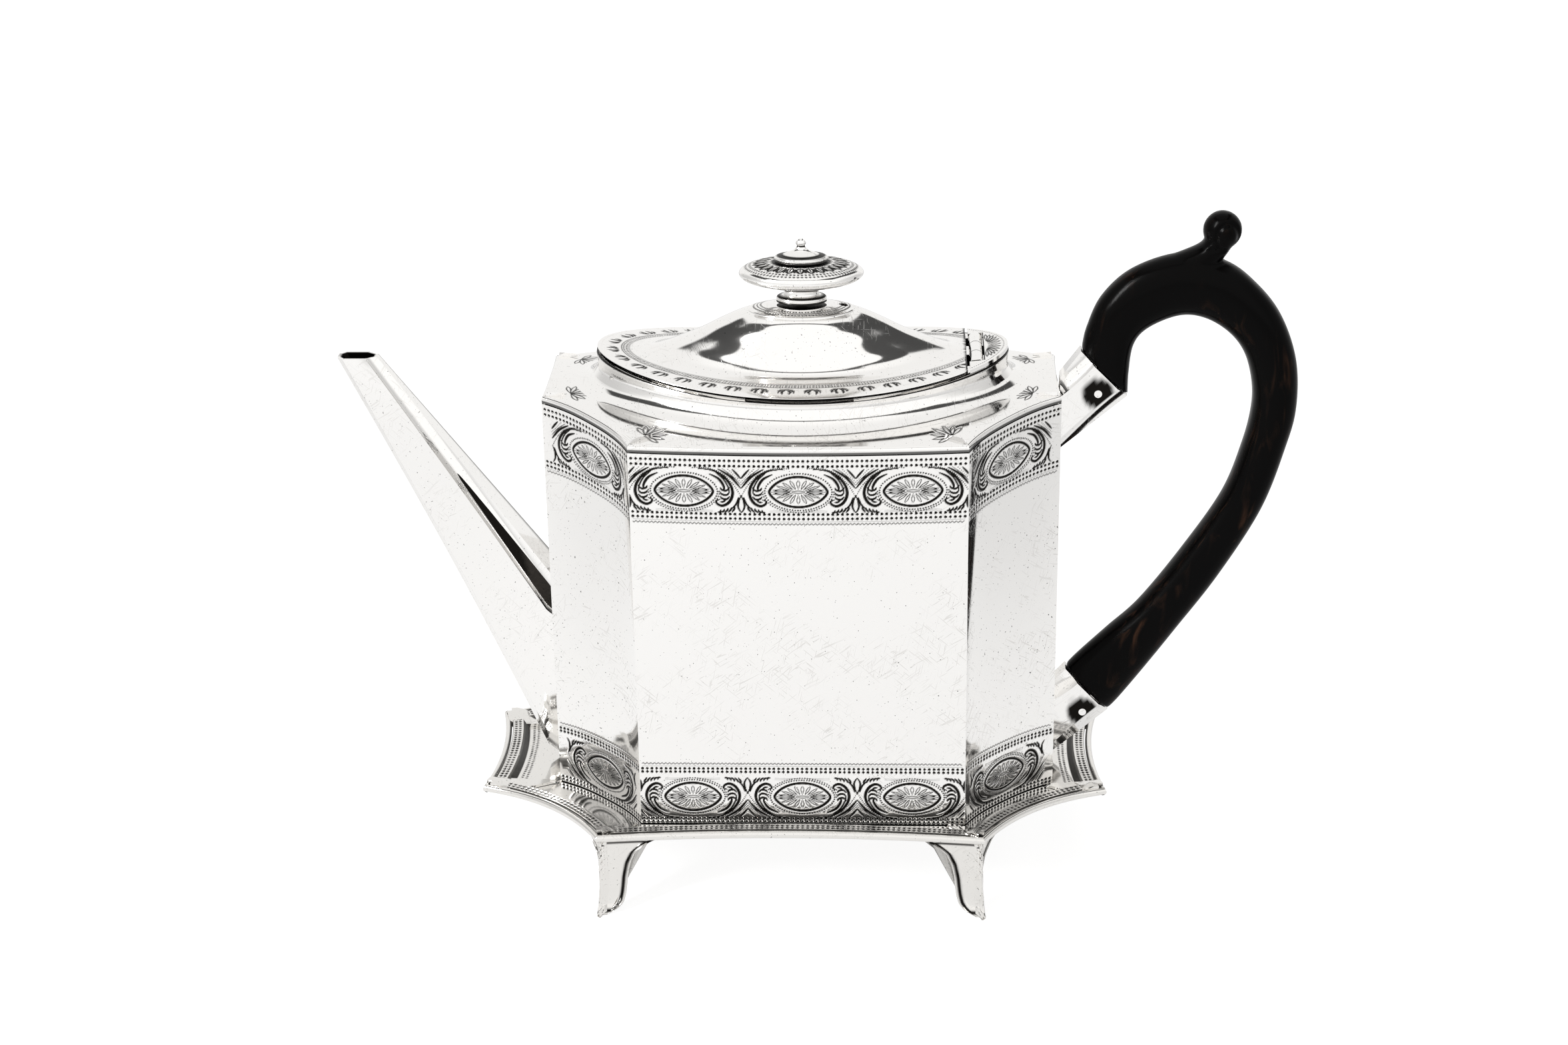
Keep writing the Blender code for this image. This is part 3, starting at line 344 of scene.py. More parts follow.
@dataclass(frozen=True)
class Band:
    """An engraved band of rosettes in pointed ovals between rows of beads.

    Heights are from the middle of the ovals towards the edge with the chevrons.
    """

    width: float
    ovals: tuple[float, ...]
    near_rows: tuple[float, float] = (8.8, 7.3)
    far_rows: tuple[float, float] = (-6.5, -7.8)
    wriggle: float = -9.3
    bead_pitch: float = 1.3
    bead_radius: float = 0.42

    def cut(self) -> Graving:
        """Engraves the whole band on a sheet of its own."""
        half = self.width / 2
        sheet = Graving(-half, half, -11.5, 10.0)
        span = half - 0.9
        for level in self.near_rows + self.far_rows:
            sheet.dots(level_line(-span, span, level), self.bead_pitch, self.bead_radius, 0.24)
        ripple = np.arange(-span, span, 0.25)
        sheet.line(np.stack([ripple, self.wriggle + 0.22 * np.sin(ripple * 6.0)], axis=1), 0.2, 0.07)
        sheet.line(level_line(-span, span, self.wriggle + 0.75), 0.13, 0.04)
        for middle in self.ovals:
            self._rosette(sheet, middle)
            for side in (-1, 1):
                self._scroll(sheet, middle, side)
        return sheet

    def _rosette(self, sheet: Graving, middle: float) -> None:
        """Cuts one pointed oval with its dotted rings and petals."""
        at = np.array([middle, 0.0])
        sheet.line(pointed_oval(7.8, 4.35, 1.35) + at, 0.42, 0.2)
        sheet.dots(pointed_oval(9.0, 5.3, 1.05) + at, 0.72, 0.26, 0.12)
        sheet.dots((pointed_oval(9.5, 5.85, 1.0) + at)[36:], 0.72, 0.24, 0.11)
        sheet.line(pointed_oval(1.7, 0.32, 1.0, 25) + at, 0.16, 0.1)
        petals = 18
        for k in range(petals):
            turn = math.tau * (k + 0.5) / petals
            ca, sa = math.cos(turn), math.sin(turn)
            foot = (middle + 2.0 * ca, 0.75 * sa)
            tip = (middle + 6.9 * ca * (0.9 + 0.1 * abs(ca)), 3.55 * sa)
            sheet.leaf(foot, tip, 0.78 - 0.3 * abs(ca), 0.16)
        for side in (-1, 1):
            sheet.leaf((middle + side * 2.4, 0.0), (middle + side * 7.2, 0.0), 0.5, 0.16)

    def _scroll(self, sheet: Graving, middle: float, side: int) -> None:
        """Cuts the acanthus scroll, chevrons and sprout on one side of an oval."""

        def path(*points: tuple[float, float]) -> list[tuple[float, float]]:
            """Mirrors and places some points."""
            return [(middle + side * x, y) for x, y in points]

        sheet.curve(path((4.0, 6.5), (7.6, 6.1), (10.6, 4.4), (12.6, 1.7), (13.0, -0.9), (12.0, -3.1),
                         (10.3, -4.1), (8.9, -3.6), (8.7, -2.7), (9.6, -2.3)), 0.5, 0.2)
        sheet.curve(path((6.9, 5.0), (9.3, 3.7), (10.6, 1.8), (10.8, 0.3)), 0.46, 0.19)
        sheet.curve(path((8.6, 5.4), (10.6, 3.6), (11.9, 1.2), (12.1, -0.4)), 0.3, 0.14)
        for level in (1.2, -0.1, -1.3):
            sheet.curve(path((12.3, level), (11.4, level - 0.9), (10.2, level - 0.7), (9.7, level)),
                        0.38, 0.18)
        sheet.curve(path((9.6, -3.0), (10.6, -2.9), (11.4, -2.0)), 0.34, 0.16)
        outer = path((2.5, 6.75), (6.6, 6.7), (10.2, 5.2), (13.2, 2.2), (15.1, -1.0))
        sheet.dots(catmull(outer, 24), 0.6, 0.2, 0.1)
        sheet.curve(path((9.2, 6.5), (12.6, 4.2), (15.3, 0.9)), 0.42, 0.18)
        sheet.curve(path((10.4, 6.6), (13.2, 4.3), (15.3, 1.9)), 0.2, 0.1)
        sheet.curve(path((13.0, 6.5), (14.3, 5.0), (15.3, 3.7)), 0.36, 0.17)
        sheet.dots(np.array(path((11.9, 6.4), (15.3, 2.8))), 0.6, 0.17, 0.08)
        sheet.curve(path((15.25, -1.2), (14.6, -2.8), (14.5, -4.6), (15.25, -6.0)), 0.36, 0.17)
        sheet.curve(path((14.6, -1.6), (13.9, -3.6), (12.6, -5.0)), 0.34, 0.16)
        for k in range(5):
            foot = (13.6 - 0.95 * k, -4.4 - 0.22 * k)
            sheet.curve(path(foot, (foot[0] - 0.2, foot[1] - 0.6), (foot[0] - 0.9, -6.0)), 0.36, 0.17)
        for level in (-5.4, -5.8):
            sheet.line(np.array(path((0.5 if level < -5.5 else 3.0, level), (7.6, level - 0.1))), 0.12, 0.05)


# ------------------------------------------------------------------ surfaces to meshes


def normals_of(points: np.ndarray, inside: tuple[float, float, float], wraps: bool) -> np.ndarray:
    """Finds the outward normals of a grid of points.

    Args:
        points: Rows of points.
        inside: A point behind the surface.
        wraps: Whether each row closes on itself.

    Returns:
        One unit normal for each point.
    """
    if wraps:
        along = np.roll(points, -1, axis=1) - np.roll(points, 1, axis=1)
    else:
        along = np.gradient(points, axis=1)
    across = np.gradient(points, axis=0)
    normal = np.cross(along, across)
    normal /= np.linalg.norm(normal, axis=2, keepdims=True) + 1e-12
    if (normal * (points - np.array(inside))).sum() < 0:
        normal = -normal
    return normal


@dataclass
class Skin:
    """A closed shell: a finely cut outer face with a plainer one behind it."""

    points: np.ndarray
    inside: tuple[float, float, float]
    cut: np.ndarray
    wraps: bool = True
    thickness: float = SHEET
    back_step: int = 8

    def loop(self) -> tuple[np.ndarray, np.ndarray]:
        """Gives the rows of the whole closed section and how deeply each point is cut."""
        normal = normals_of(self.points, self.inside, self.wraps)
        face = self.points - normal * self.cut[:, :, None]
        rows = sorted(set(range(0, len(face), self.back_step)) | {len(face) - 1})
        back = (self.points - normal * self.thickness)[rows][::-1]
        return np.concatenate([face, back]), np.concatenate([self.cut, np.zeros(back.shape[:2])])


class Bench:
    """Makes the meshes, places them and keeps count of the pieces."""

    def __init__(self) -> None:
        """Starts with nothing selected and no pieces."""
        bpy.ops.object.select_all(action="DESELECT")
        self.made: list[bpy.types.Object] = []

    def grid(self, name: str, points: np.ndarray, place: Place, wraps: bool = True, loops: bool = True,
             cut: np.ndarray | None = None, smooth: float = 0.7) -> bpy.types.Object:
        """Bends a grid primitive to rows of points and closes it.

        Args:
            name: The piece's name.
            points: Rows of points, in millimetres from the place's zero.
            place: Where that zero stands.
            wraps: Whether each row closes on itself.
            loops: Whether the last row joins the first.
            cut: How deeply each point is cut, which here only sets how dark it is: patina in engraved cuts,
                and painted shade at seams and creases.
            smooth: Edges sharper than this angle stay crisp.

        Returns:
            The closed piece.
        """
        depth = np.zeros(points.shape[:2]) if cut is None else cut
        if loops:
            points, depth = np.concatenate([points, points[:1]]), np.concatenate([depth, depth[:1]])
        if wraps:
            points = np.concatenate([points, points[:, :1]], axis=1)
            depth = np.concatenate([depth, depth[:, :1]], axis=1)
        rows, columns = points.shape[:2]
        bpy.ops.object.select_all(action="DESELECT")
        bpy.ops.mesh.primitive_grid_add(x_subdivisions=columns - 1, y_subdivisions=rows - 1, size=1,
                                        calc_uvs=False)
        piece = bpy.context.object
        piece.name = piece.data.name = name
        placed = (points + np.array(place.value)) * MM
        piece.data.vertices.foreach_set("co", placed.astype(np.float32).ravel())
        self.darken(piece, np.clip(depth / DARKEST_CUT, 0, 1))
        self.close(piece, smooth)
        return piece

    def darken(self, piece: bpy.types.Object, share: np.ndarray) -> None:
        """Stores how dark each point of a piece is, from 0 to 1: patina in engraved cuts, and painted shade
        at seams, creases and joints.
        """
        layer = piece.data.attributes.new("cut", "FLOAT", "POINT")
        layer.data.foreach_set("value", share.astype(np.float32).ravel())

    def close(self, piece: bpy.types.Object, smooth: float) -> None:
        """Merges seams, fills open ends and turns every face outwards."""
        bpy.ops.object.mode_set(mode="EDIT")
        bpy.ops.mesh.select_all(action="SELECT")
        bpy.ops.mesh.remove_doubles(threshold=1e-6)
        bpy.ops.mesh.fill_holes(sides=0)
        bpy.ops.mesh.select_all(action="SELECT")
        bpy.ops.mesh.normals_make_consistent(inside=False)
        bpy.ops.object.mode_set(mode="OBJECT")
        bpy.ops.object.shade_smooth_by_angle(angle=smooth)

    def skin(self, name: str, skin: Skin, place: Place, smooth: float = 0.7) -> bpy.types.Object:
        """Makes a closed shell from a skin."""
        points, cut = skin.loop()
        return self.grid(name, points, place, wraps=skin.wraps, cut=cut, smooth=smooth)

    def turn(self, name: str, profile: np.ndarray, place: Place, squash: float = 1.0, steps: int = 96,
             smooth: float = 0.7, dark: tuple[tuple[float, float], ...] = ()) -> bpy.types.Object:
        """Spins a profile round the upright axis of the lid.

        Args:
            name: The piece's name.
            profile: Radius and height of each point, from the top of the axis to its foot.
            place: Where the profile's zero stands.
            squash: Width over length of the turned oval.
            steps: Steps all the way round.
            smooth: Edges sharper than this angle stay crisp.
            dark: Heights where painted shade darkens joints and creases, and how far it reaches from each.

        Returns:
            The closed piece.
        """
        bpy.ops.object.select_all(action="DESELECT")
        bpy.ops.mesh.primitive_circle_add(vertices=len(profile), radius=1.0)
        piece = bpy.context.object
        piece.name = piece.data.name = name
        for vert, (radius, height) in zip(piece.data.vertices, profile):
            vert.co = Vector((radius * MM, 0.0, height * MM))
        bpy.ops.object.mode_set(mode="EDIT")
        bpy.ops.mesh.select_all(action="SELECT")
        bpy.ops.mesh.spin(steps=steps, angle=math.tau, center=(0, 0, 0), axis=(0, 0, 1))
        bpy.ops.mesh.select_all(action="SELECT")
        bpy.ops.mesh.remove_doubles(threshold=2e-6)
        bpy.ops.mesh.select_all(action="SELECT")
        bpy.ops.transform.resize(value=(1.0, squash, 1.0), center_override=(0, 0, 0))
        bpy.ops.object.mode_set(mode="OBJECT")
        piece.data.transform(Matrix.Translation(Vector(place.value) * MM))
        self.close(piece, smooth)
        heights = np.array([vert.co.z for vert in piece.data.vertices]) / MM - place.value[2]
        share = np.zeros(len(heights))
        for level, reach in dark:
            share = np.maximum(share, smoothstep(reach, reach / 3, np.abs(heights - level)))
        self.darken(piece, share)
        return piece

    def cut_away(self, piece: bpy.types.Object, low: tuple[float, float, float],
                 high: tuple[float, float, float], place: Place) -> None:
        """Cuts a block out of a piece.

        Args:
            piece: The piece to cut.
            low: The block's lowest corner.
            high: Its highest corner.
            place: Where the corners' zero stands.
        """
        middle = [(a + b) / 2 + p for a, b, p in zip(low, high, place.value)]
        bpy.ops.object.select_all(action="DESELECT")
        bpy.ops.mesh.primitive_cube_add(size=1, location=Vector(middle) * MM)
        tool = bpy.context.object
        tool.scale = Vector([b - a for a, b in zip(low, high)]) * MM
        bpy.context.view_layer.update()
        self.carve(piece, tool)

    def carve(self, piece: bpy.types.Object, tool: bpy.types.Object, way: str = "DIFFERENCE") -> None:
        """Applies a boolean with a tool and removes the tool."""
        modifier = piece.modifiers.new("carve", "BOOLEAN")
        modifier.operation, modifier.object, modifier.solver = way, tool, "EXACT"
        bpy.context.view_layer.objects.active = piece
        bpy.ops.object.modifier_apply(modifier=modifier.name)
        bpy.data.objects.remove(tool)

    def slice_off(self, piece: bpy.types.Object, at_x: float) -> None:
        """Cuts a shell straight across the pot, keeps the side towards the spout and closes the cut.

        Args:
            piece: The shell.
            at_x: Where the cut is, from the pot's axis.
        """
        bpy.ops.object.select_all(action="DESELECT")
        bpy.context.view_layer.objects.active = piece
        piece.select_set(True)
        bpy.ops.object.mode_set(mode="EDIT")
        bpy.ops.mesh.select_all(action="SELECT")
        where = ((at_x + POT_PLACE[0]) * MM, 0, 0)
        bpy.ops.mesh.bisect(plane_co=where, plane_no=(1, 0, 0), use_fill=True, clear_outer=True)
        bpy.ops.mesh.select_all(action="SELECT")
        bpy.ops.mesh.normals_make_consistent(inside=False)
        bpy.ops.object.mode_set(mode="OBJECT")

    def hand_over(self, piece: bpy.types.Object, rider: Rider, finish: bpy.types.Material, slot: str,
                  nodes: tuple[str, ...]) -> None:
        """Dresses a piece, sets what it rides on and which nodes it stands for."""
        piece.data.materials.clear()
        piece.data.materials.append(finish)
        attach(piece, rider.value)
        if nodes:
            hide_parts(*nodes)
        self.made.append(piece)
        LOG.info("%s: %d faces, rides on %s", piece.name, len(piece.data.polygons), rider.value)


# ------------------------------------------------------------------ finishes


class Nodes:
    """A short way to place and link nodes in one tree."""

    def __init__(self, tree: bpy.types.NodeTree) -> None:
        """Works in one node tree."""
        self.tree = tree

    def add(self, kind: str, **settings: object) -> bpy.types.Node:
        """Adds a node and sets its properties or its named inputs."""
        node = self.tree.nodes.new(kind)
        for name, value in settings.items():
            if hasattr(node, name):
                setattr(node, name, value)
            else:
                node.inputs[name.replace("_", " ")].default_value = value
        return node

    def link(self, source: bpy.types.NodeSocket, target: bpy.types.NodeSocket) -> None:
        """Links two sockets."""
        self.tree.links.new(source, target)

    def maths(self, operation: str, *values: object) -> bpy.types.NodeSocket:
        """Adds a Math node on sockets or numbers.

        Args:
            operation: What the node does.
            values: Its inputs in order.

        Returns:
            Its output.
        """
        node = self.add("ShaderNodeMath", operation=operation)
        for socket, value in zip(node.inputs, values):
            if isinstance(value, bpy.types.NodeSocket):
                self.link(value, socket)
            else:
                socket.default_value = value
        return node.outputs[0]

    def ramp(self, value: bpy.types.NodeSocket, low: float, high: float, start: float = 0.0,
             end: float = 1.0) -> bpy.types.NodeSocket:
        """Maps a value from one range smoothly to another."""
        node = self.add("ShaderNodeMapRange", interpolation_type="SMOOTHSTEP")
        for name, number in (("From Min", low), ("From Max", high), ("To Min", start), ("To Max", end)):
            node.inputs[name].default_value = number
        self.link(value, node.inputs["Value"])
        return node.outputs["Result"]


def wear_and_shade_group() -> bpy.types.NodeTree:
    """Builds the group that gives polished silver its cuts, scratches and clouding, and the painted shade
    carried by the cut attribute.

    Returns:
        A group with Colour, Roughness and Height outputs.
    """
    tree = bpy.data.node_groups.new("silver_wear_and_shade", "ShaderNodeTree")
    face = tree.interface
    for name, kind, value in (("Silver", "NodeSocketColor", (0.9, 0.88, 0.85, 1)),
                              ("Patina_and_shade", "NodeSocketColor", (0.01, 0.009, 0.008, 1)),
                              ("Smoothest", "NodeSocketFloat", 0.06), ("Scratches", "NodeSocketFloat", 0.5)):
        face.new_socket(name, in_out="INPUT", socket_type=kind).default_value = value
    for name, kind in (("Colour", "NodeSocketColor"), ("Roughness", "NodeSocketFloat"),
                       ("Height", "NodeSocketFloat")):
        face.new_socket(name, in_out="OUTPUT", socket_type=kind)
    n = Nodes(tree)
    given, out = n.add("NodeGroupInput"), n.add("NodeGroupOutput")
    place = n.add("ShaderNodeTexCoord").outputs["Object"]
    # the cut attribute holds patina in engraved cuts and painted shade at seams, creases and joints
    cut = n.add("ShaderNodeAttribute", attribute_name="cut").outputs["Fac"]
    clouds = n.add("ShaderNodeTexNoise", Scale=55.0, Detail=5.0, Roughness=0.6)
    n.link(place, clouds.inputs["Vector"])
    fine = n.add("ShaderNodeTexNoise", Scale=700.0, Detail=3.0)
    n.link(place, fine.inputs["Vector"])
    scratch = None
    for turn, stretch in (((0.2, 0.7, 0.3), (190, 190, 3600)), ((0.5, -0.5, 1.9), (3200, 210, 210)),
                          ((0.9, 1.3, 2.6), (240, 4000, 240)), ((0.1, -0.9, 0.7), (170, 170, 3800))):
        bent = n.add("ShaderNodeMapping", vector_type="TEXTURE")
        bent.inputs["Rotation"].default_value = turn
        bent.inputs["Scale"].default_value = [1 / along for along in stretch]
        n.link(place, bent.inputs["Vector"])
        lines = n.add("ShaderNodeTexNoise", Scale=1.0, Detail=0.0, Distortion=0.35)
        n.link(bent.outputs[0], lines.inputs["Vector"])
        thin = n.ramp(lines.outputs["Fac"], 0.71, 0.76)
        scratch = thin if scratch is None else n.maths("MAXIMUM", scratch, thin)
    patches = n.ramp(clouds.outputs["Fac"], 0.42, 0.62)
    specks = n.add("ShaderNodeTexNoise", Scale=2100.0, Detail=0.0)
    n.link(place, specks.inputs["Vector"])
    pits = n.ramp(specks.outputs["Fac"], 0.79, 0.82)
    scratch = n.maths("MULTIPLY", n.maths("MULTIPLY", scratch, patches), given.outputs["Scratches"])
    # the dark mix covers cuts and pits, so it paints the shade that the cut attribute carries as well
    grain = n.add("ShaderNodeMix", data_type="RGBA", blend_type="MIX")
    pits = n.maths("MULTIPLY", pits, given.outputs["Scratches"])
    n.link(n.maths("MAXIMUM", cut, pits), grain.inputs["Factor"])
    n.link(given.outputs["Silver"], grain.inputs["A"])
    n.link(given.outputs["Patina_and_shade"], grain.inputs["B"])
    dulled = n.add("ShaderNodeMix", data_type="RGBA", blend_type="MULTIPLY")
    n.link(n.maths("MULTIPLY", scratch, 0.3), dulled.inputs["Factor"])
    n.link(grain.outputs["Result"], dulled.inputs["A"])
    dulled.inputs["B"].default_value = (0.45, 0.43, 0.4, 1)
    n.link(dulled.outputs["Result"], out.inputs["Colour"])
    rough = n.maths("MULTIPLY_ADD", clouds.outputs["Fac"], 0.06, given.outputs["Smoothest"])
    rough = n.maths("MULTIPLY_ADD", scratch, 0.06, rough)
    n.link(n.maths("MULTIPLY_ADD", cut, 0.3, rough), out.inputs["Roughness"])
    height = n.maths("MULTIPLY_ADD", fine.outputs["Fac"], 0.03, n.maths("MULTIPLY", scratch, -0.1))
    n.link(n.maths("MULTIPLY_ADD", clouds.outputs["Fac"], 0.12, height), out.inputs["Height"])
    return tree


@dataclass(frozen=True)
class SilverFinish:
    """Polished or dulled silver with darkened cuts and painted shade at seams, creases and joints."""

    name: str
    silver: tuple[float, float, float] = (0.885, 0.875, 0.86)
    smoothest: float = 0.045
    scratches: float = 0.6
    bump: float = 0.00006

    def build(self, wear_and_shade: bpy.types.NodeTree) -> bpy.types.Material:
        """Makes the material.

        Args:
            wear_and_shade: The shared group of scratches, clouding, patina and painted shade.

        Returns:
            The finished material.
        """
        material = bpy.data.materials.new(self.name)
        material.use_nodes = True
        n = Nodes(material.node_tree)
        shader = material.node_tree.nodes["Principled BSDF"]
        shader.inputs["Metallic"].default_value = 1.0
        group = n.add("ShaderNodeGroup", node_tree=wear_and_shade)
        for name, value in (("Silver", (*self.silver, 1)), ("Smoothest", self.smoothest),
                            ("Scratches", self.scratches)):
            group.inputs[name].default_value = value
        bump = n.add("ShaderNodeBump", Strength=1.0, Distance=self.bump)
        n.link(group.outputs["Height"], bump.inputs["Height"])
        n.link(group.outputs["Colour"], shader.inputs["Base Color"])
        n.link(group.outputs["Roughness"], shader.inputs["Roughness"])
        n.link(bump.outputs["Normal"], shader.inputs["Normal"])
        return material


@dataclass(frozen=True)
class EbonyFinish:
    """Black stained wood, waxed, and worn brown in patches along its grain."""

    name: str = "ebonised_wood"
    black: tuple[float, float, float] = (0.0008, 0.0007, 0.0007)
    brown: tuple[float, float, float] = (0.03, 0.014, 0.008)

    def build(self) -> bpy.types.Material:
        """Makes the material."""
        material = bpy.data.materials.new(self.name)
        material.use_nodes = True
        n = Nodes(material.node_tree)
        shader = material.node_tree.nodes["Principled BSDF"]
        place = n.add("ShaderNodeTexCoord").outputs["Object"]
        along = n.add("ShaderNodeMapping")
        along.inputs["Scale"].default_value = (260, 900, 60)
        n.link(place, along.inputs["Vector"])
        grain = n.add("ShaderNodeTexNoise", Scale=1.0, Detail=6.0, Distortion=0.8)
        n.link(along.outputs[0], grain.inputs["Vector"])
        spots = n.add("ShaderNodeTexNoise", Scale=38.0, Detail=3.0)
        n.link(place, spots.inputs["Vector"])
        streaks = n.ramp(grain.outputs["Fac"], 0.5, 0.75)
        worn = n.maths("MULTIPLY", streaks, n.ramp(spots.outputs["Fac"], 0.45, 0.7))
        colour = n.add("ShaderNodeMix", data_type="RGBA")
        n.link(worn, colour.inputs["Factor"])
        colour.inputs["A"].default_value = (*self.black, 1)
        colour.inputs["B"].default_value = (*self.brown, 1)
        n.link(colour.outputs["Result"], shader.inputs["Base Color"])
        n.link(n.maths("MULTIPLY_ADD", spots.outputs["Fac"], 0.12, 0.16), shader.inputs["Roughness"])
        shader.inputs["Specular IOR Level"].default_value = 0.05
        bump = n.add("ShaderNodeBump", Strength=0.6, Distance=0.00008)
        n.link(grain.outputs["Fac"], bump.inputs["Height"])
        n.link(bump.outputs["Normal"], shader.inputs["Normal"])
        return material


class Finishes:
    """Every finish on the object, built once."""

    def __init__(self) -> None:
        """Builds the shared group of scratches, clouding, patina and painted shade, and the materials."""
        wear_and_shade = wear_and_shade_group()
        self.panel = SilverFinish("silver_panels", scratches=0.9).build(wear_and_shade)
        self.bright = SilverFinish("silver_bright").build(wear_and_shade)
        self.stand = SilverFinish("silver_stand", silver=(0.77, 0.755, 0.73), smoothest=0.07).build(wear_and_shade)
        self.dull = SilverFinish("silver_dull", silver=(0.6, 0.58, 0.54), smoothest=0.3).build(wear_and_shade)
        self.ebony = EbonyFinish().build()


# ------------------------------------------------------------------ the pot's walls


@dataclass
class Walls:
    """The eight panels, each with an engraved band at its top and its foot."""

    bench: Bench
    finishes: Finishes
    fine: float = 0.2
    upper_zone: float = 20.6
    lower_zone: float = 20.2
    upper_middle: float = 10.2
    lower_middle: float = 8.4
    crease: float = 2.2

    def build(self) -> None:
        """Makes the eight panels."""
        plan, starts = BODY.outline(self.fine)
        back = inset(plan, SHEET)
        names = ("front", "front_right", "right_end", "back_right",
                 "back", "back_left", "left_end", "front_left")
        for k, name in enumerate(names):
            last = starts[k + 1] if k < 7 else len(plan)
            columns = np.arange(starts[k], last + 1) % len(plan)
            kind = ("front", "cant", "end", "cant")[k % 4]
            self._panel("wall_" + name, plan[columns], back[columns], kind)

    def _bands(self, kind: str, width: float) -> tuple[Graving, Graving]:
        """Engraves the upper and the lower band of one kind of panel."""
        ovals = {"front": (-30.6, 0.0, 30.6), "cant": (0.0,), "end": ()}[kind]
        upper = Band(width, ovals).cut()
        lower = Band(width, ovals, (7.8, 6.8), (-7.8, -8.8), -10.4).cut()
        return upper, lower

    def _panel(self, name: str, plan: np.ndarray, back: np.ndarray, kind: str) -> None:
        """Makes one panel between two corners.

        Args:
            name: The piece's name.
            plan: Its outer points in plan.
            back: The points behind them, on the inner face.
            kind: Whether it is a front, a canted or an end panel.
        """
        along = running_length(plan)
        width = along[-1]
        across = along - width / 2
        top = deck_level(plan[:, 0], plan[:, 1]) - self.crease
        if kind == "end":
            keep = sorted(set(range(0, len(plan), 2)) | {len(plan) - 1})
            plan, back, across, top = plan[keep], back[keep], across[keep], top[keep]
        low_rows = np.arange(0, self.lower_zone, self.fine)
        high_rows = np.arange(self.upper_zone, -1e-6, -self.fine)
        middle = np.linspace(0, 1, 10)[1:-1]
        levels = [np.full(len(plan), z) for z in low_rows]
        levels += [self.lower_zone + (top - self.upper_zone - self.lower_zone) * share for share in middle]
        levels += [top - max(v, 0.0) for v in high_rows]
        z = np.array(levels)
        x, y = (np.broadcast_to(plan[:, k], z.shape) for k in range(2))
        face = np.stack([x, y, z], axis=2)
        upper, lower = self._bands(kind, width)
        u = np.broadcast_to(across, z.shape)
        cut = np.maximum(upper.read(u, z - (top - self.upper_middle)), lower.read(u, self.lower_middle - z))
        cut *= smoothstep(0.0, 0.35, width / 2 - np.abs(u))
        normal = normals_of(face, (0, 0, 56), False)
        face = face - normal * cut[:, :, None]
        behind = np.array([raised(back, top), raised(back, 0.0)])
        points = np.concatenate([face, behind])
        depth = np.concatenate([cut, np.zeros(behind.shape[:2])])
        piece = self.bench.grid(name, points, Place.POT, wraps=False, cut=depth, smooth=1.1)
        self.bench.hand_over(piece, Rider.POT, self.finishes.panel, "silver", ("body_wall",))


@dataclass
class Deck:
    """The crowned deck with its cove, the collar and the sprigs at its corners."""

    bench: Bench
    finishes: Finishes
    pitch: float = 0.34
    lip: float = 1.9
    edge: float = 1.0
    reach: float = 7.0
    rise: float = 5.0

    def sprigs(self) -> Graving:
        """Engraves the leaf sprig with its stem at each corner, over one quarter."""
        sheet = Graving(-2.0, 73.0, -2.0, 44.0, 0.12)
        for (x, y), turn in (((41.6, 37.6), math.radians(218)), ((64.2, 14.6), math.radians(202))):
            for k in range(-3, 4):
                lean = turn + 0.42 * k
                long = 7.6 - 0.8 * abs(k)
                tip = (x + long * math.cos(lean), y + long * math.sin(lean))
                foot = (x + 1.0 * math.cos(turn + 0.1 * k), y + 1.0 * math.sin(turn + 0.1 * k))
                sheet.leaf(foot, tip, 1.15, 0.24)
            stem = (x + 2.6 * math.cos(turn + math.pi), y + 2.6 * math.sin(turn + math.pi))
            sheet.curve([stem, (x, y)], 0.25)
        return sheet

    def _mouth(self, turns: np.ndarray, grow: float) -> np.ndarray:
        """Draws the oval of the mouth, grown all round."""
        return oval(LID_HALF_LENGTH + grow, LID_HALF_WIDTH + grow, turns)

    def build(self) -> None:
        """Makes the deck as one raised sheet."""
        plan, _ = BODY.outline(self.pitch)
        turns = np.arctan2(plan[:, 1] / LID_HALF_WIDTH, plan[:, 0] / LID_HALF_LENGTH)
        rings = [raised(plan, deck_level(*plan.T) - drop) for drop in (self.lip, 1.4)]
        for turn in np.linspace(0, 1, 6) * math.pi / 2:
            ring = inset(plan, self.edge - math.cos(turn))
            rings.append(raised(ring, deck_level(*ring.T) - (self.edge - math.sin(turn))))
        start = inset(plan, self.edge)
        end = self._mouth(turns, self.reach)
        for share in np.linspace(0, 1, 62)[1:]:
            ring = start + (end - start) * share
            rings.append(raised(ring, deck_level(*ring.T)))
        for turn in np.linspace(0, 1, 12)[1:] * math.pi / 2:
            ring = self._mouth(turns, self.reach * (1 - math.sin(turn)))
            rings.append(raised(ring, deck_level(*ring.T) + self.rise * (1 - math.cos(turn))))
        foot = self._mouth(turns, 0.0)
        base, top = deck_level(*foot.T) + self.rise, lid_level(*foot.T) - SHEET - SEAM
        collar = ((0.15, 0.0), (0.4, 0.08), (0.6, 0.2), (0.8, 0.3), (0.86, 0.3), (0.93, 0.3), (1.0, 0.25))
        for share, out in collar:
            rings.append(raised(self._mouth(turns, out), base + (top - base) * share))
        points = np.array(rings)
        cut = self.sprigs().read(np.abs(points[:, :, 0]), np.abs(points[:, :, 1]))
        flat = np.zeros(len(rings))
        flat[12:66] = 1.0  # the rows between the rounded edge and the cove
        cut *= flat[:, None]
        # painted shade: a dark line on the collar's top rows under the lid's edge, and on the deck's lowest
        # rows where it meets the walls
        cut[-3:], cut[:2] = SEAM_SHADE, 0.06
        piece = self.bench.skin("deck_and_collar", Skin(points, (0, 0, 60), cut=cut), Place.POT, 0.6)
        self.bench.hand_over(piece, Rider.POT, self.finishes.bright, "silver", ("body_deck",))


# ------------------------------------------------------------------ the lid


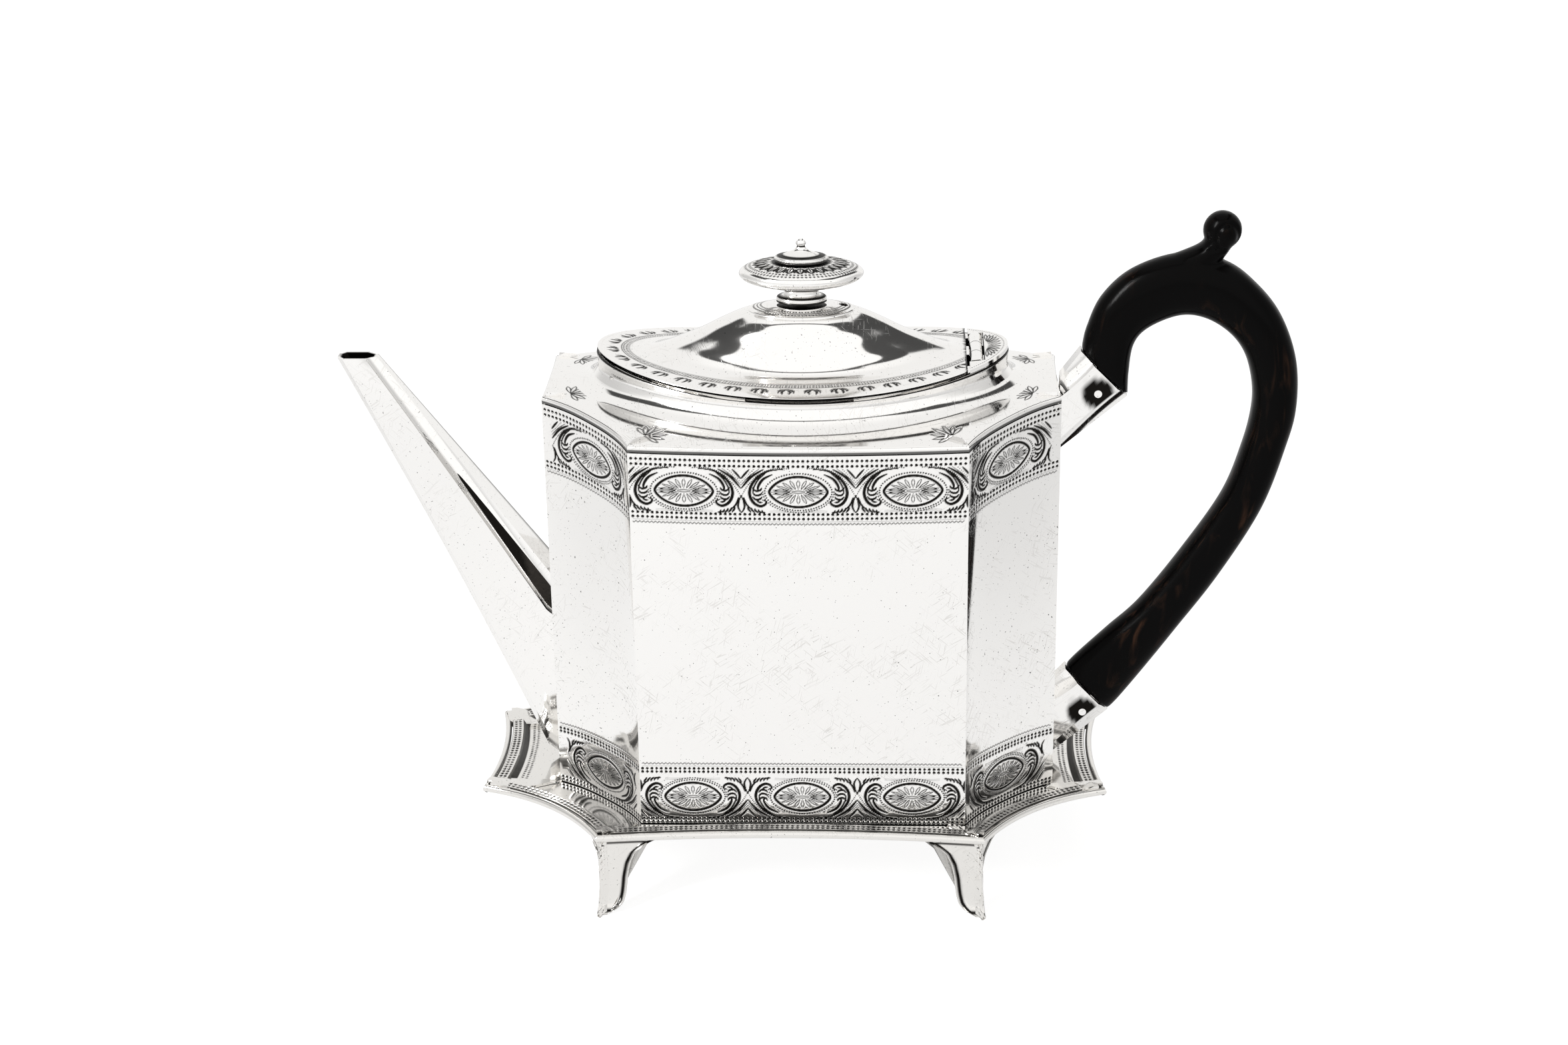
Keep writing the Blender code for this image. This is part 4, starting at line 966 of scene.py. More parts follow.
@dataclass
class LidSurface:
    """The oval lid from its edge to its top, with its engraved border."""

    columns: int = 880
    border: float = 8.7

    def sections(self) -> np.ndarray:
        """Gives half length, half width and height over the border for each ring."""
        edge = [(56.55, 29.95, -0.55), (56.7, 30.1, -0.3), (56.8, 30.2, -0.12), (56.72, 30.12, 0.0)]
        flat = [(56.6 - t, 30.0 - t, 0.0) for t in np.linspace(0, self.border - 0.2, 34)]
        dome = catmull([(48.1, 21.5, 0.0), (43.0, 17.9, 0.5), (38.5, 16.0, 2.1), (33.5, 14.6, 4.4),
                        (28.0, 12.9, 7.1), (22.0, 10.9, 10.5), (15.5, 8.4, 13.4), (8.0, 4.6, 14.3),
                        (2.7, 1.6, 14.5)], 56)[1:]
        return np.vstack([edge, flat, dome])

    def points(self, turns: np.ndarray) -> np.ndarray:
        """Gives every ring of the lid at the given angles."""
        rings = []
        for half_length, half_width, height in self.sections():
            ring = oval(half_length, half_width, turns)
            rings.append(raised(ring, lid_level(*ring.T) + height))
        return np.array(rings)

    def along(self) -> np.ndarray:
        """Gives the distance along the lid's edge at evenly spaced angles, with the full length last."""
        return running_length(oval(LID_HALF_LENGTH, LID_HALF_WIDTH, np.linspace(0, math.tau, 721)))

    def engraving(self) -> tuple[Graving, np.ndarray]:
        """Engraves the border: leaf sprigs near the edge, then beads between fine lines.

        Returns:
            The sheet, as distance along the edge and distance in from it, and the running lengths.
        """
        run = self.along()
        length = run[-1]
        sheet = Graving(-1.0, length + 1.0, 0.0, 9.4, 0.12)
        for level in (7.2, 8.0):
            sheet.dots(level_line(0.0, length, level), 0.95, 0.3, 0.16)
        for level in (6.6, 8.6):
            sheet.line(level_line(0.0, length, level), 0.18, 0.08)
        count = 36
        for k in range(count):
            x = length * (k + 0.5) / count
            for side in (-1, 1):
                sheet.curve([(x + side * 0.2, 5.6), (x + side * 1.1, 4.4), (x + side * 0.9, 2.6)], 0.5, 0.2)
                sheet.curve([(x + side * 1.1, 5.6), (x + side * 2.1, 4.6), (x + side * 2.2, 3.4)], 0.4, 0.18)
        return sheet, run


@dataclass
class Lid:
    """The hinged lid and the fixed end plate that carries its hinge."""

    bench: Bench
    finishes: Finishes
    cut_x: float = 45.5
    cut_gap: float = 0.2
    hinge_x: float = 48.0
    knuckle: float = 7.5

    def build(self) -> None:
        """Makes the lid and the end plate from one surface."""
        surface = LidSurface()
        turns = np.linspace(0, math.tau, surface.columns, endpoint=False)
        points = surface.points(turns)
        sheet, run = surface.engraving()
        place = np.interp(turns, np.linspace(0, math.tau, len(run)), run)
        reach = LID_HALF_LENGTH - surface.sections()[:, 0]
        reach[:4] = 0.0
        where, depth = np.broadcast_arrays(place, reach[:, None])
        cut = sheet.read(where, depth)
        # painted shade: a dark strip along the lid's cut by the hinge, and on the two rows of its underside
        # edge over the collar
        cut[points[:, :, 0] > self.cut_x - 0.6] = SEAM_SHADE
        cut[:2] = SEAM_SHADE
        lid = self.bench.skin("lid_sheet", Skin(points, (0, 0, 0), cut=cut), Place.POT, 0.6)
        self.bench.slice_off(lid, self.cut_x - self.cut_gap)
        self.bench.hand_over(lid, Rider.LID, self.finishes.bright, "silver", ("lid_shell",))
        self._end_plate()

    def _end_plate(self) -> None:
        """Makes the fixed plate with its petals and its notch for the knuckles."""
        across = np.linspace(-1, 1, 180)
        rows = np.linspace(0, 1, 52)
        low_x = self.cut_x + SEAM + self.cut_gap
        half = LID_HALF_WIDTH * math.sqrt(1 - (low_x / LID_HALF_LENGTH) ** 2)
        y = across * half * 0.999
        rim = LID_HALF_LENGTH * np.sqrt(np.maximum(1 - (y / LID_HALF_WIDTH) ** 2, 0)) - 0.02
        x = low_x + (np.maximum(rim, low_x + 0.05) - low_x)[None, :] * rows[:, None]
        wide = np.broadcast_to(y, x.shape)
        points = np.stack([x, wide, lid_level(x, wide)], axis=2)
        sheet = Graving(44.0, 58.0, -20.0, 20.0, 0.1)
        for k in range(-6, 7):
            turn = k * 0.235
            foot = (50.9 + 0.4 * math.cos(turn), 3.2 * math.sin(turn))
            tip = (50.9 + 4.2 * math.cos(turn) - 0.02 * k * k, 9.5 * math.sin(turn))
            sheet.leaf(foot, tip, 0.75, 0.24)
        turn = np.linspace(-0.62, 0.62, 60)
        sheet.dots(np.stack([55.7 * np.cos(turn), 29.2 * np.sin(turn)], axis=1), 0.8, 0.2, 0.1)
        cut = sheet.read(x, wide)
        # painted shade along the plate's cut edge, at the gap by the lid
        cut[0] = SEAM_SHADE
        plate = self.bench.skin("hinge_plate", Skin(points, (50, 0, 0), wraps=False, cut=cut), Place.POT, 0.6)
        reach = 1.5 * self.knuckle + SEAM
        self.bench.cut_away(plate, (40, -reach, 110), (self.hinge_x + 2.3, reach, 140), Place.POT)
        self.bench.hand_over(plate, Rider.POT, self.finishes.bright, "silver", ("hinge_end_plate",))


@dataclass
class Finial:
    """The oval plate, neck, leaf-ringed disc and button on top of the lid."""

    bench: Bench
    finishes: Finishes
    squash: float = 0.66
    plate_squash: float = 8.7 / 15.1
    dome_top: float = LID_LEVEL + 14.4
    disc_radius: float = 17.2
    disc_thickness: float = 6.2
    button_radius: float = 7.3
    vent_x: float = 11.6

    def build(self) -> None:
        """Makes the four pieces of the finial."""
        self._plate()
        neck_foot = self.dome_top + 1.55
        neck = catmull([(0.0, 4.7), (5.9, 4.7), (5.7, 4.3), (5.0, 3.4), (4.9, 2.6), (5.3, 1.9), (6.3, 1.7),
                        (6.95, 1.2), (6.9, 0.6), (6.5, 0.2), (6.5, 0.0), (0.0, 0.0)], 64)
        self._turned("finial_waist", neck + (0, neck_foot), "finial_neck", (0.0, 1.6, 4.6))
        self._disc(neck_foot + 5.0)
        foot = neck_foot + 5.0 + self.disc_thickness + SEAM
        button = catmull([(0.0, 6.35), (0.55, 6.2), (1.15, 5.7), (1.45, 5.1), (1.2, 4.5), (1.15, 4.1),
                          (2.1, 3.1), (4.2, 2.2), (5.4, 1.75), (6.3, 1.6), (7.2, 1.3), (7.4, 0.8),
                          (7.1, 0.3), (6.9, 0.0), (0.0, 0.0)], 84)
        self._turned("finial_top", button + (0, foot), "finial_button", (0.1, 1.7, 4.2))

    def _turned(self, name: str, profile: np.ndarray, node: str, joints: tuple[float, ...]) -> None:
        """Spins one plain piece of the finial, with painted shade at its joints, at some heights above its
        foot.
        """
        profile = profile.copy()
        profile[:, 0] = np.maximum(profile[:, 0], 0.0)
        # painted shade in a ring at each joint and crease
        dark = tuple((profile[-1, 1] + joint, 0.34) for joint in joints)
        piece = self.bench.turn(name, profile, Place.POT, self.squash, dark=dark)
        self.bench.hand_over(piece, Rider.LID, self.finishes.bright, "silver", (node,))

    def _disc(self, foot: float) -> None:
        """Makes the disc with leaves round its upper side and beads under its edge."""
        turns = np.linspace(0, math.tau, 420, endpoint=False)
        lift = np.linspace(math.pi / 2, -math.pi / 2, 64)
        flat = self.disc_radius - self.button_radius
        radii = np.concatenate([[0.05], self.button_radius + flat * np.cos(lift), [0.05]])
        heights = self.disc_thickness / 2 * np.sin(lift)
        heights = foot + self.disc_thickness / 2 + np.concatenate([heights[:1], heights, heights[-1:]])
        rings = [raised(oval(r, r * self.squash, turns), z) for r, z in zip(radii, heights)]
        points = np.array(rings)
        length = 86.0
        sheet = Graving(-1.0, length + 1.0, 0.0, 14.0, 0.12)
        leaves = 26
        for k in range(leaves):
            x = length * (k + 0.5) / leaves
            for side in (-1, 1):
                sheet.curve([(x, 1.6), (x + side * 1.2, 3.2), (x + side * 0.9, 5.0), (x, 6.2)], 0.55, 0.24)
            sheet.curve([(x, 2.2), (x, 5.4)], 0.3, 0.14)
            sheet.curve([(x + length / leaves / 2, 3.0), (x + length / leaves / 2, 5.8)], 0.5, 0.2)
        for level in (0.9, 7.0, 8.2):
            sheet.dots(level_line(0.0, length, level), 1.0, 0.34, 0.16)
        steps = running_length(np.stack([radii, heights], axis=1))
        down = steps - steps[1]
        where = np.broadcast_to(turns / math.tau * length, points.shape[:2])
        cut = sheet.read(where, np.broadcast_to(down[:, None], points.shape[:2]))
        # painted shade low on the side and round the button
        for rows, dark in ((slice(53, 58), 0.05), (slice(0, 3), DARKEST_CUT)):
            cut[rows] = np.maximum(cut[rows], dark)
        normal = normals_of(points, (0, 0, foot + 3.1), True)
        piece = self.bench.grid("finial_leaf_disc", points - normal * cut[:, :, None], Place.POT, loops=False,
                                cut=cut, smooth=0.8)
        self.bench.hand_over(piece, Rider.LID, self.finishes.bright, "silver", ("finial_disc",))

    def _plate(self) -> None:
        """Makes the plate under the neck, which follows the dome and has beads round its edge."""
        turns = np.linspace(0, math.tau, 300, endpoint=False)
        profile = [(3.0, 15.05), (8.0, 14.95), (11.0, 14.55), (12.4, 14.28), (13.3, 14.02), (14.0, 13.8),
                   (14.6, 13.6), (14.95, 13.35), (15.05, 13.05), (14.9, 12.75)]
        shape = catmull(profile, 60)
        rings = []
        for radius, height in shape:
            ring = oval(radius, radius * self.plate_squash, turns)
            rings.append(raised(ring, lid_level(*ring.T) + height + 0.25))
        points = np.array(rings)
        length = 77.0
        sheet = Graving(-1.0, length + 1.0, 0.0, 16.0, 0.12)
        for level in (11.1, 13.1):
            sheet.dots(level_line(0.0, length, level), 0.9, 0.3, 0.14)
        sheet.line(level_line(0.0, length, 12.1), 0.2, 0.1)
        where = np.broadcast_to(turns / math.tau * length, points.shape[:2])
        cut = sheet.read(where, np.broadcast_to(shape[:, :1] - 0.2, points.shape[:2]))
        # the vent is a shallow dent painted fully dark, as painted shade for the inside of its hole
        vent = smoothstep(1.25, 0.9, np.hypot(points[:, :, 0] - self.vent_x, points[:, :, 1]))
        cut = np.maximum(cut, vent * 0.7)
        cut[-6:] = np.maximum(cut[-6:], 0.05)  # painted shade round the plate's edge, where it meets the dome
        skin = Skin(points, (0, 0, 100), cut=cut, thickness=0.8)
        piece = self.bench.skin("finial_oval_plate", skin, Place.POT)
        self.bench.hand_over(piece, Rider.LID, self.finishes.bright, "silver", ("finial_plate",))


# ------------------------------------------------------------------ spout, sockets and handle


def fluted_side(start: np.ndarray, end: np.ndarray, sag: float, count: int, away: np.ndarray) -> np.ndarray:
    """Draws one facet of a section.

    Args:
        start: Its first corner.
        end: Its last corner.
        sag: How deeply it is hollowed, or a negative number to swell it.
        count: The number of steps along it.
        away: A unit direction out of the facet.

    Returns:
        The points from start up to, but without, end.
    """
    share = np.arange(count)[:, None] / count
    shape = 1 - (2 * share - 1) ** 2
    return start + (end - start) * share - away * sag * shape


def eight_facets(edges: np.ndarray, facets: tuple[tuple[float, int], ...]) -> np.ndarray:
    """Draws a closed section with eight facets, the same on both sides.

    Args:
        edges: Its four edges on one side, from top to bottom.
        facets: How hollow each facet is, from the top one to the bottom one, and its steps.

    Returns:
        The points all round.
    """
    mirrored = edges * (1, -1, 1)
    chain = [mirrored[0], *edges, mirrored[3]]
    centre = edges.mean(axis=0) * (1, 0, 1)
    sides = []
    for start, end, (sag, count) in zip(chain, chain[1:], facets):
        away = (start + end) / 2 - centre
        sides.append(fluted_side(start, end, sag, count, away / np.linalg.norm(away)))
    half = np.vstack([*sides, mirrored[3:]])
    return np.vstack([half[:-1], (half[facets[0][1] + 1:] * (1, -1, 1))[::-1]])


@dataclass
class Spout:
    """The straight eight-sided spout, hollowed on the two facets beside its top."""

    bench: Bench
    finishes: Finishes
    reach: float = 129.6
    mouth_level: float = 124.2
    mouth_length: float = 11.1
    tail: float = 3.4
    steps: tuple[int, ...] = (6, 16, 10, 8, 4)

    def _edges(self, inner: float) -> tuple[np.ndarray, np.ndarray]:
        """Gives the four edges of one side at the wall and at the mouth, inner in from the outside."""
        wall = -END_FACE
        lip, back = -self.reach, -self.reach + self.mouth_length
        feet = [(wall, 6.5 - inner * 0.45, 59.3 - inner * 1.7), (wall, 11.0 - inner, 49.6 - inner * 0.6),
                (wall, 4.6 - inner, 7.0 + inner * 1.4), (wall, 1.8 - inner * 0.6, 0.8 + inner * 1.7)]
        mouth_in = inner * 1.12
        mouths = [(back - mouth_in, 1.3 - inner * 0.45, self.mouth_level),
                  (back - 2.9 - inner * 0.4, 3.4 - inner, self.mouth_level),
                  (lip + 1.7 + inner * 0.4, 3.4 - inner, self.mouth_level),
                  (lip + mouth_in, 1.7 - inner * 0.45, self.mouth_level)]
        return np.array(feet), np.array(mouths)

    def _ring(self, share: float, inner: float = 0.0) -> np.ndarray:
        """Draws the section at a share of the way to the mouth.

        Args:
            share: 0 on the wall, 1 at the mouth.
            inner: How far in from the outside. Only the outside is hollowed.

        Returns:
            The points all round.
        """
        feet, mouths = self._edges(inner)
        feet[:, 0] -= self.tail * np.array((0.0, 0.3, 1.0, 1.0)) * min(share / 0.02, 1.0)
        edges = feet + (mouths - feet) * share
        edges[:, 0] += 1.2 * math.sin(math.pi * share) * np.arange(4) / 3
        size = 0.0 if inner else math.dist(edges[0], edges[1])
        sags = (0.0, 0.2 * size, -0.02 * size, 0.06 * size, 0.0)
        return eight_facets(edges, tuple(zip(sags, self.steps)))

    def _shade(self, share: float, count: int) -> np.ndarray:
        """Paints shade into the creases of a section with so many points, and onto half of its flute near the
        mouth.
        """
        flute, side, under, keel, _ = np.cumsum(self.steps)
        shade = np.zeros(count)
        shade[[flute, side]] = 0.06
        shade[(flute + side) // 2:side] += 0.045 * smoothstep(0.36, 0.5, np.float64(share))
        # a faint painted shade along the lower chamfer
        shade[under:keel] = 0.006
        return shade

    def build(self) -> None:
        """Makes the hollow spout, open at its mouth and at the wall."""
        shares = np.concatenate([[0, 0.012, 0.025], np.linspace(0.05, 1, 58)])
        outer = [self._ring(share) for share in shares]
        lip = self._ring(1.0, 0.45) + (0, 0, 0.12)
        inner = [self._ring(share, 0.9) for share in (1.0, 0.97, 0.75, 0.5, 0.25, 0.02, 0.0)]
        shades = [self._shade(share, len(lip)) for share in shares]
        # the inside of the spout is painted dark, as painted shade in its hollow
        shades += [np.zeros(len(lip))] + [np.full(len(lip), 0.13)] * len(inner)
        rings = np.array([*outer, lip, *inner])
        piece = self.bench.grid("spout_fluted", rings, Place.POT, cut=np.array(shades), smooth=0.35)
        self.bench.hand_over(piece, Rider.POT, self.finishes.bright, "silver", ("spout",))


@dataclass
class Sockets:
    """The two silver sockets that hold the handle."""

    bench: Bench
    finishes: Finishes
    half_width: float = 4.8

    def build(self) -> None:
        """Makes both sockets."""
        self._socket("upper_socket_fluted", "upper_socket", (118.4, 96.8),
                     ((76.9, 126.0), (90.0, 112.7)), (81.7, 114.4))
        self._socket("lower_socket_fluted", "lower_socket", (25.2, 2.0),
                     ((74.9, 29.2), (87.4, 15.9)), (79.9, 16.6))

    def _ring(self, top: np.ndarray, under: np.ndarray, inner: float) -> np.ndarray:
        """Draws one eight-sided section between its top and bottom points."""
        length = math.dist(top, under)
        half = self.half_width - inner
        stations = [(inner, 2.7 - inner * 0.4), (5.0 + inner * 0.4, half), (length - 4.2 - inner * 0.4, half),
                    (length - inner, 1.6 - inner * 0.4)]
        down = (under - top) / length
        edges = np.array([(top[0] + down[0] * s, y, top[1] + down[1] * s) for s, y in stations])
        sags = (0.0, 0.0, 0.0, 0.0, 0.0) if inner else (0.0, 0.7, 0.0, 0.25, 0.0)
        return eight_facets(edges, tuple(zip(sags, (4, 10, 6, 6, 4))))

    def _socket(self, name: str, node: str, wall: tuple[float, float],
                mouth: tuple[tuple[float, float], tuple[float, float]], pin: tuple[float, float]) -> None:
        """Makes one hollow socket, darker round its pin.

        Args:
            name: The piece's name.
            node: The node that it stands for.
            wall: Heights of its top and underside on the wall.
            mouth: Top and underside of its mouth.
            pin: Where the cross pin goes through.
        """
        rings = []
        for share, inner in [(share, 0.0) for share in np.linspace(0, 1, 40)] + [(1.0, 0.9), (0.0, 0.9)]:
            top, under = (np.array((END_FACE, z)) * (1 - share) + np.array(edge) * share
                          for z, edge in zip(wall, mouth))
            rings.append(self._ring(top, under, inner))
        points = np.array(rings)
        away = np.hypot(points[:, :, 0] - pin[0], points[:, :, 2] - pin[1])
        # darker round the pin on the flat sides, as deep as the painted seam shade
        pin_darkening = smoothstep(5.2, 3.2, away) * SEAM_SHADE * (np.abs(points[:, :, 1]) > self.half_width - 0.4)
        piece = self.bench.grid(name, points, Place.POT, cut=pin_darkening, smooth=0.35)
        self.bench.hand_over(piece, Rider.POT, self.finishes.bright, "silver", (node,))


@dataclass
class Handle:
    """The carved loop of blackened wood with its rolled thumb piece."""

    bench: Bench
    finishes: Finishes
    scroll: tuple[float, float] = (114.3, 159.9)
    voxel: float = 0.55

    def stations(self) -> list[tuple[float, float, float, float]]:
        """Gives the outer and the inner edge of the loop in the handle's plane, end to end."""
        return [(77.11, 126.21, 90.21, 112.91), (78.3, 132.2, 90.3, 119.5), (82.2, 141.2, 91.4, 127.6),
                (90.5, 149.0, 95.3, 132.4), (103.5, 153.3, 103.6, 135.9), (115.8, 151.0, 110.8, 135.0),
                (124.5, 144.5, 117.6, 130.6), (131.5, 135.5, 122.0, 124.4), (136.1, 123.0, 124.3, 115.8),
                (136.9, 109.5, 124.4, 108.0), (134.7, 98.0, 122.4, 97.8), (128.7, 79.0, 117.4, 83.0),
                (117.5, 58.5, 107.0, 66.0), (106.0, 41.5, 95.5, 50.0), (98.3, 30.3, 86.6, 41.2),
                (90.8, 19.9, 78.6, 33.3), (87.62, 16.11, 75.12, 29.41)]

    def _section(self, centre: np.ndarray, across: np.ndarray, half_across: float, half_width: float,
                 power: float = 0.86, steps: int = 40) -> np.ndarray:
        """Draws one rounded section of the loop."""
        turn = np.linspace(0, math.tau, steps, endpoint=False)
        u = np.sign(np.cos(turn)) * np.abs(np.cos(turn)) ** power * half_across
        v = np.sign(np.sin(turn)) * np.abs(np.sin(turn)) ** power * half_width
        return np.stack([centre[0] + across[0] * u, v, centre[1] + across[1] * u], axis=1)

    def _loft(self, name: str, sections: list[np.ndarray]) -> bpy.types.Object:
        """Makes a closed body through sections."""
        return self.bench.grid(name, np.array(sections), Place.POT, loops=False)

    def build(self) -> None:
        """Makes the loop, joins the thumb piece to it and smooths the whole."""
        edges = catmull(self.stations(), 170)
        sections = []
        for k, (out_x, out_z, in_x, in_z) in enumerate(edges):
            outer, inner = np.array([out_x, out_z]), np.array([in_x, in_z])
            thick = np.linalg.norm(outer - inner)
            share = k / (len(edges) - 1)
            half_width = 5.0 + 1.6 * math.sin(math.pi * share) ** 0.5
            across = (outer - inner) / thick
            sections.append(self._section((outer + inner) / 2, across, thick / 2, half_width))
        handle = self._loft("handle_carved", sections)
        for extra in self._thumb():
            self.bench.carve(handle, extra, "UNION")
        self._refine(handle)
        self._groove(handle)
        self.bench.hand_over(handle, Rider.POT, self.finishes.ebony, "wood", ("handle",))

    def _thumb(self) -> list[bpy.types.Object]:
        """Makes the neck and the rolled ball of the thumb piece."""
        cx, cz = self.scroll
        across = np.array((1.0, 0.0))
        path = catmull([(cx - 15.5, cz - 13.2, 5.0, 4.8), (cx - 8.5, cz - 10.0, 4.5, 4.7),
                        (cx - 3.4, cz - 6.6, 3.7, 4.6), (cx - 0.9, cz - 3.2, 3.7, 4.5),
                        (cx, cz, 3.6, 4.4)], 22)
        ahead = np.gradient(path[:, :2], axis=0)
        ahead /= np.linalg.norm(ahead, axis=1, keepdims=True)
        neck = [self._section(station[:2], np.array((way[1], -way[0])), station[2], station[3], 0.9)
                for station, way in zip(path, ahead)]
        lift = np.linspace(-math.pi / 2, math.pi / 2, 22)
        ball = [self._section(np.array((cx, cz + 5.3 * math.sin(a))), across, max(5.3 * math.cos(a), 0.05),
                              max(4.9 * math.cos(a) ** 0.8, 0.05), 1.0) for a in lift]
        return [self._loft("thumb_neck", neck), self._loft("thumb_ball", ball)]

    def _refine(self, handle: bpy.types.Object) -> None:
        """Blends the joined bodies into one even surface."""
        bpy.context.view_layer.objects.active = handle
        remesh = handle.modifiers.new("even", "REMESH")
        remesh.mode, remesh.voxel_size = "VOXEL", self.voxel * MM
        bpy.ops.object.modifier_apply(modifier=remesh.name)
        soften = handle.modifiers.new("soften", "SMOOTH")
        soften.factor, soften.iterations = 0.5, 5
        bpy.ops.object.modifier_apply(modifier=soften.name)

    def _groove(self, handle: bpy.types.Object) -> None:
        """Presses the curled arc of the roll and a short curve under it into both sides of the thumb piece.
        """
        count = len(handle.data.vertices)
        flat = np.empty(count * 3, np.float32)
        handle.data.vertices.foreach_get("co", flat)
        co = flat.reshape(-1, 3).astype(float)
        x = co[:, 0] / MM - POT_PLACE[0] - self.scroll[0]
        z = co[:, 2] / MM - POT_PLACE[2] - self.scroll[1]
        side = co[:, 1] / MM
        sheet = Graving(-8, 8, -9, 8, 0.1)
        roll = np.linspace(-0.2, 4.4, 60)
        sheet.line(np.stack([1.1 + 3.0 * np.cos(roll), -1.2 + 3.8 * np.sin(roll)], axis=1), 0.8, 0.8)
        sheet.curve([(0.2, -4.7), (-1.8, -4.3), (-4.2, -4.6)], 0.6, 0.6)
        depth = sheet.read(x, z) * smoothstep(0.8, 2.2, np.abs(side)) * (np.hypot(x, z) < 7.5)
        co[:, 1] -= np.sign(side) * depth * MM
        handle.data.vertices.foreach_set("co", co.astype(np.float32).ravel())
        handle.data.update()
        bpy.ops.object.select_all(action="DESELECT")
        handle.select_set(True)
        bpy.context.view_layer.objects.active = handle
        bpy.ops.object.shade_smooth_by_angle(angle=0.9)


# ------------------------------------------------------------------ the stand


@dataclass
class Tray:
    """The shallow tray, its beaded rim and the moulding round its edge."""

    bench: Bench
    finishes: Finishes
    pitch: float = 0.36
    wire: float = 1.9
    rim: float = 3.2
    rim_rows: int = 14
    slope: float = 1.6

    def build(self) -> None:
        """Makes the tray and the edge moulding."""
        plan, _ = TRAY.outline(self.pitch)
        start = self.wire + SEAM
        end = start + self.rim
        rim_top = TRAY_FLOOR + TRAY_DEPTH
        spans = [(start, rim_top), (start + 0.12, rim_top)]
        spans += [(d, rim_top) for d in np.linspace(start + 0.3, end - 0.3, self.rim_rows - 2)]
        spans += [(end - 0.05, rim_top - 0.04), (end + 0.1, rim_top - 0.25)]
        for share in (0.33, 0.66, 0.9):
            spans.append((end + 0.1 + self.slope * share, rim_top - 0.25 - (TRAY_DEPTH - 0.4) * share))
        spans += [(end + self.slope + 0.15, TRAY_FLOOR + 0.02), (end + self.slope + 0.4, TRAY_FLOOR)]
        rings = [raised(inset(plan, d), z) for d, z in spans]
        foot = inset(plan, end + self.slope + 0.4)
        inner = self._floor_ring(plan)
        rings += [raised(foot + (inner - foot) * share, TRAY_FLOOR) for share in np.linspace(0, 1, 38)[1:]]
        points = np.array(rings)
        cut = self._floor_rows(points, self._rim_rows(plan, spans, points))
        # painted shade along the moulding, at the rim's inner edge and down the slope
        for rows, dark in ((0, 0.07), (1, 0.03), (15, 0.05), (slice(16, 20), 0.065)):
            cut[rows] = np.maximum(cut[rows], dark)
        centre = points[-1] * (0.02, 0.02, 1.0)
        middle = np.array([points[-1] + (centre - points[-1]) * share for share in (0.25, 0.6, 1.0)])
        cut = np.concatenate([cut, np.zeros(middle.shape[:2])])
        skin = Skin(np.concatenate([points, middle]), (0, 0, -400), cut=cut)
        piece = self.bench.skin("tray_sheet", skin, Place.STAND, 0.5)
        self.bench.hand_over(piece, Rider.STAND, self.finishes.stand, "silver", ("stand_tray",))
        self._edge(plan, rim_top)

    def _floor_ring(self, plan: np.ndarray) -> np.ndarray:
        """Gives the pot's outline on the tray, in the direction of each point of the plan."""
        body = BODY.outline(0.3)[0] + (POT_PLACE[0] - STAND_PLACE[0], 0.0)
        turn = np.arctan2(body[:, 1], body[:, 0])
        order = np.argsort(turn)
        reach = np.hypot(*body.T)[order]
        ring_turn = np.arctan2(plan[:, 1], plan[:, 0])
        far = np.interp(ring_turn, turn[order], reach, period=math.tau)
        return np.stack([np.cos(ring_turn) * far, np.sin(ring_turn) * far], axis=1)

    def _rim_rows(self, plan: np.ndarray, spans: list[tuple[float, float]], points: np.ndarray) -> np.ndarray:
        """Engraves two rows of beads round the rim."""
        along = running_length(plan)
        sheet = Graving(-1.0, along[-1] + 2.0, 0.0, self.rim + 1.0, 0.12)
        for level in (1.0, 2.2):
            sheet.dots(level_line(0.0, along[-1], level), 1.4, 0.46, 0.24)
        cut = np.zeros(points.shape[:2])
        for row, (distance, _) in enumerate(spans[:self.rim_rows]):
            cut[row] = sheet.read(along, np.full(len(along), distance - self.wire - SEAM))
        return cut

    def _floor_rows(self, points: np.ndarray, cut: np.ndarray) -> np.ndarray:
        """Engraves two rows of beads on the floor, outside the pot's own outline."""
        sheet = Graving(-88.0, 88.0, -54.0, 54.0, 0.15)
        outline = EightSides(78.5, 48.3, 49.2, 20.0, (1.6, 3.4, 1.4))
        for grow in (0.0, 1.2):
            ring = inset(outline.outline(0.8)[0], -grow)
            sheet.dots(np.vstack([ring, ring[:1]]), 1.15, 0.36, 0.16)
        floor = sheet.read(points[:, :, 0], points[:, :, 1])
        floor[:self.rim_rows + 7] = 0.0  # the rim and the slope inside it
        return np.maximum(cut, floor)

    def _edge(self, plan: np.ndarray, rim_top: float) -> None:
        """Makes the double-reeded moulding round the edge."""
        half = 1.1
        middle = rim_top + 0.2 - half
        turn = np.linspace(0, math.tau, 22, endpoint=False)
        reeds = 1 - 0.16 * np.exp(-((turn - 2.3) / 0.28) ** 2)
        rings = []
        for angle, swell in zip(turn, reeds):
            inwards = self.wire / 2 * (1 - math.cos(angle) * swell)
            rings.append(raised(inset(plan, inwards), middle + half * math.sin(angle) * swell))
        points = np.array(rings)
        # painted shade in the groove between the two reeds
        cut = np.broadcast_to((1 - reeds)[:, None] * 0.5, points.shape[:2]).copy()
        piece = self.bench.grid("tray_edge_moulding", points, Place.STAND, cut=cut, smooth=1.0)
        self.bench.hand_over(piece, Rider.STAND, self.finishes.stand, "silver", ("stand_rim_wire",))


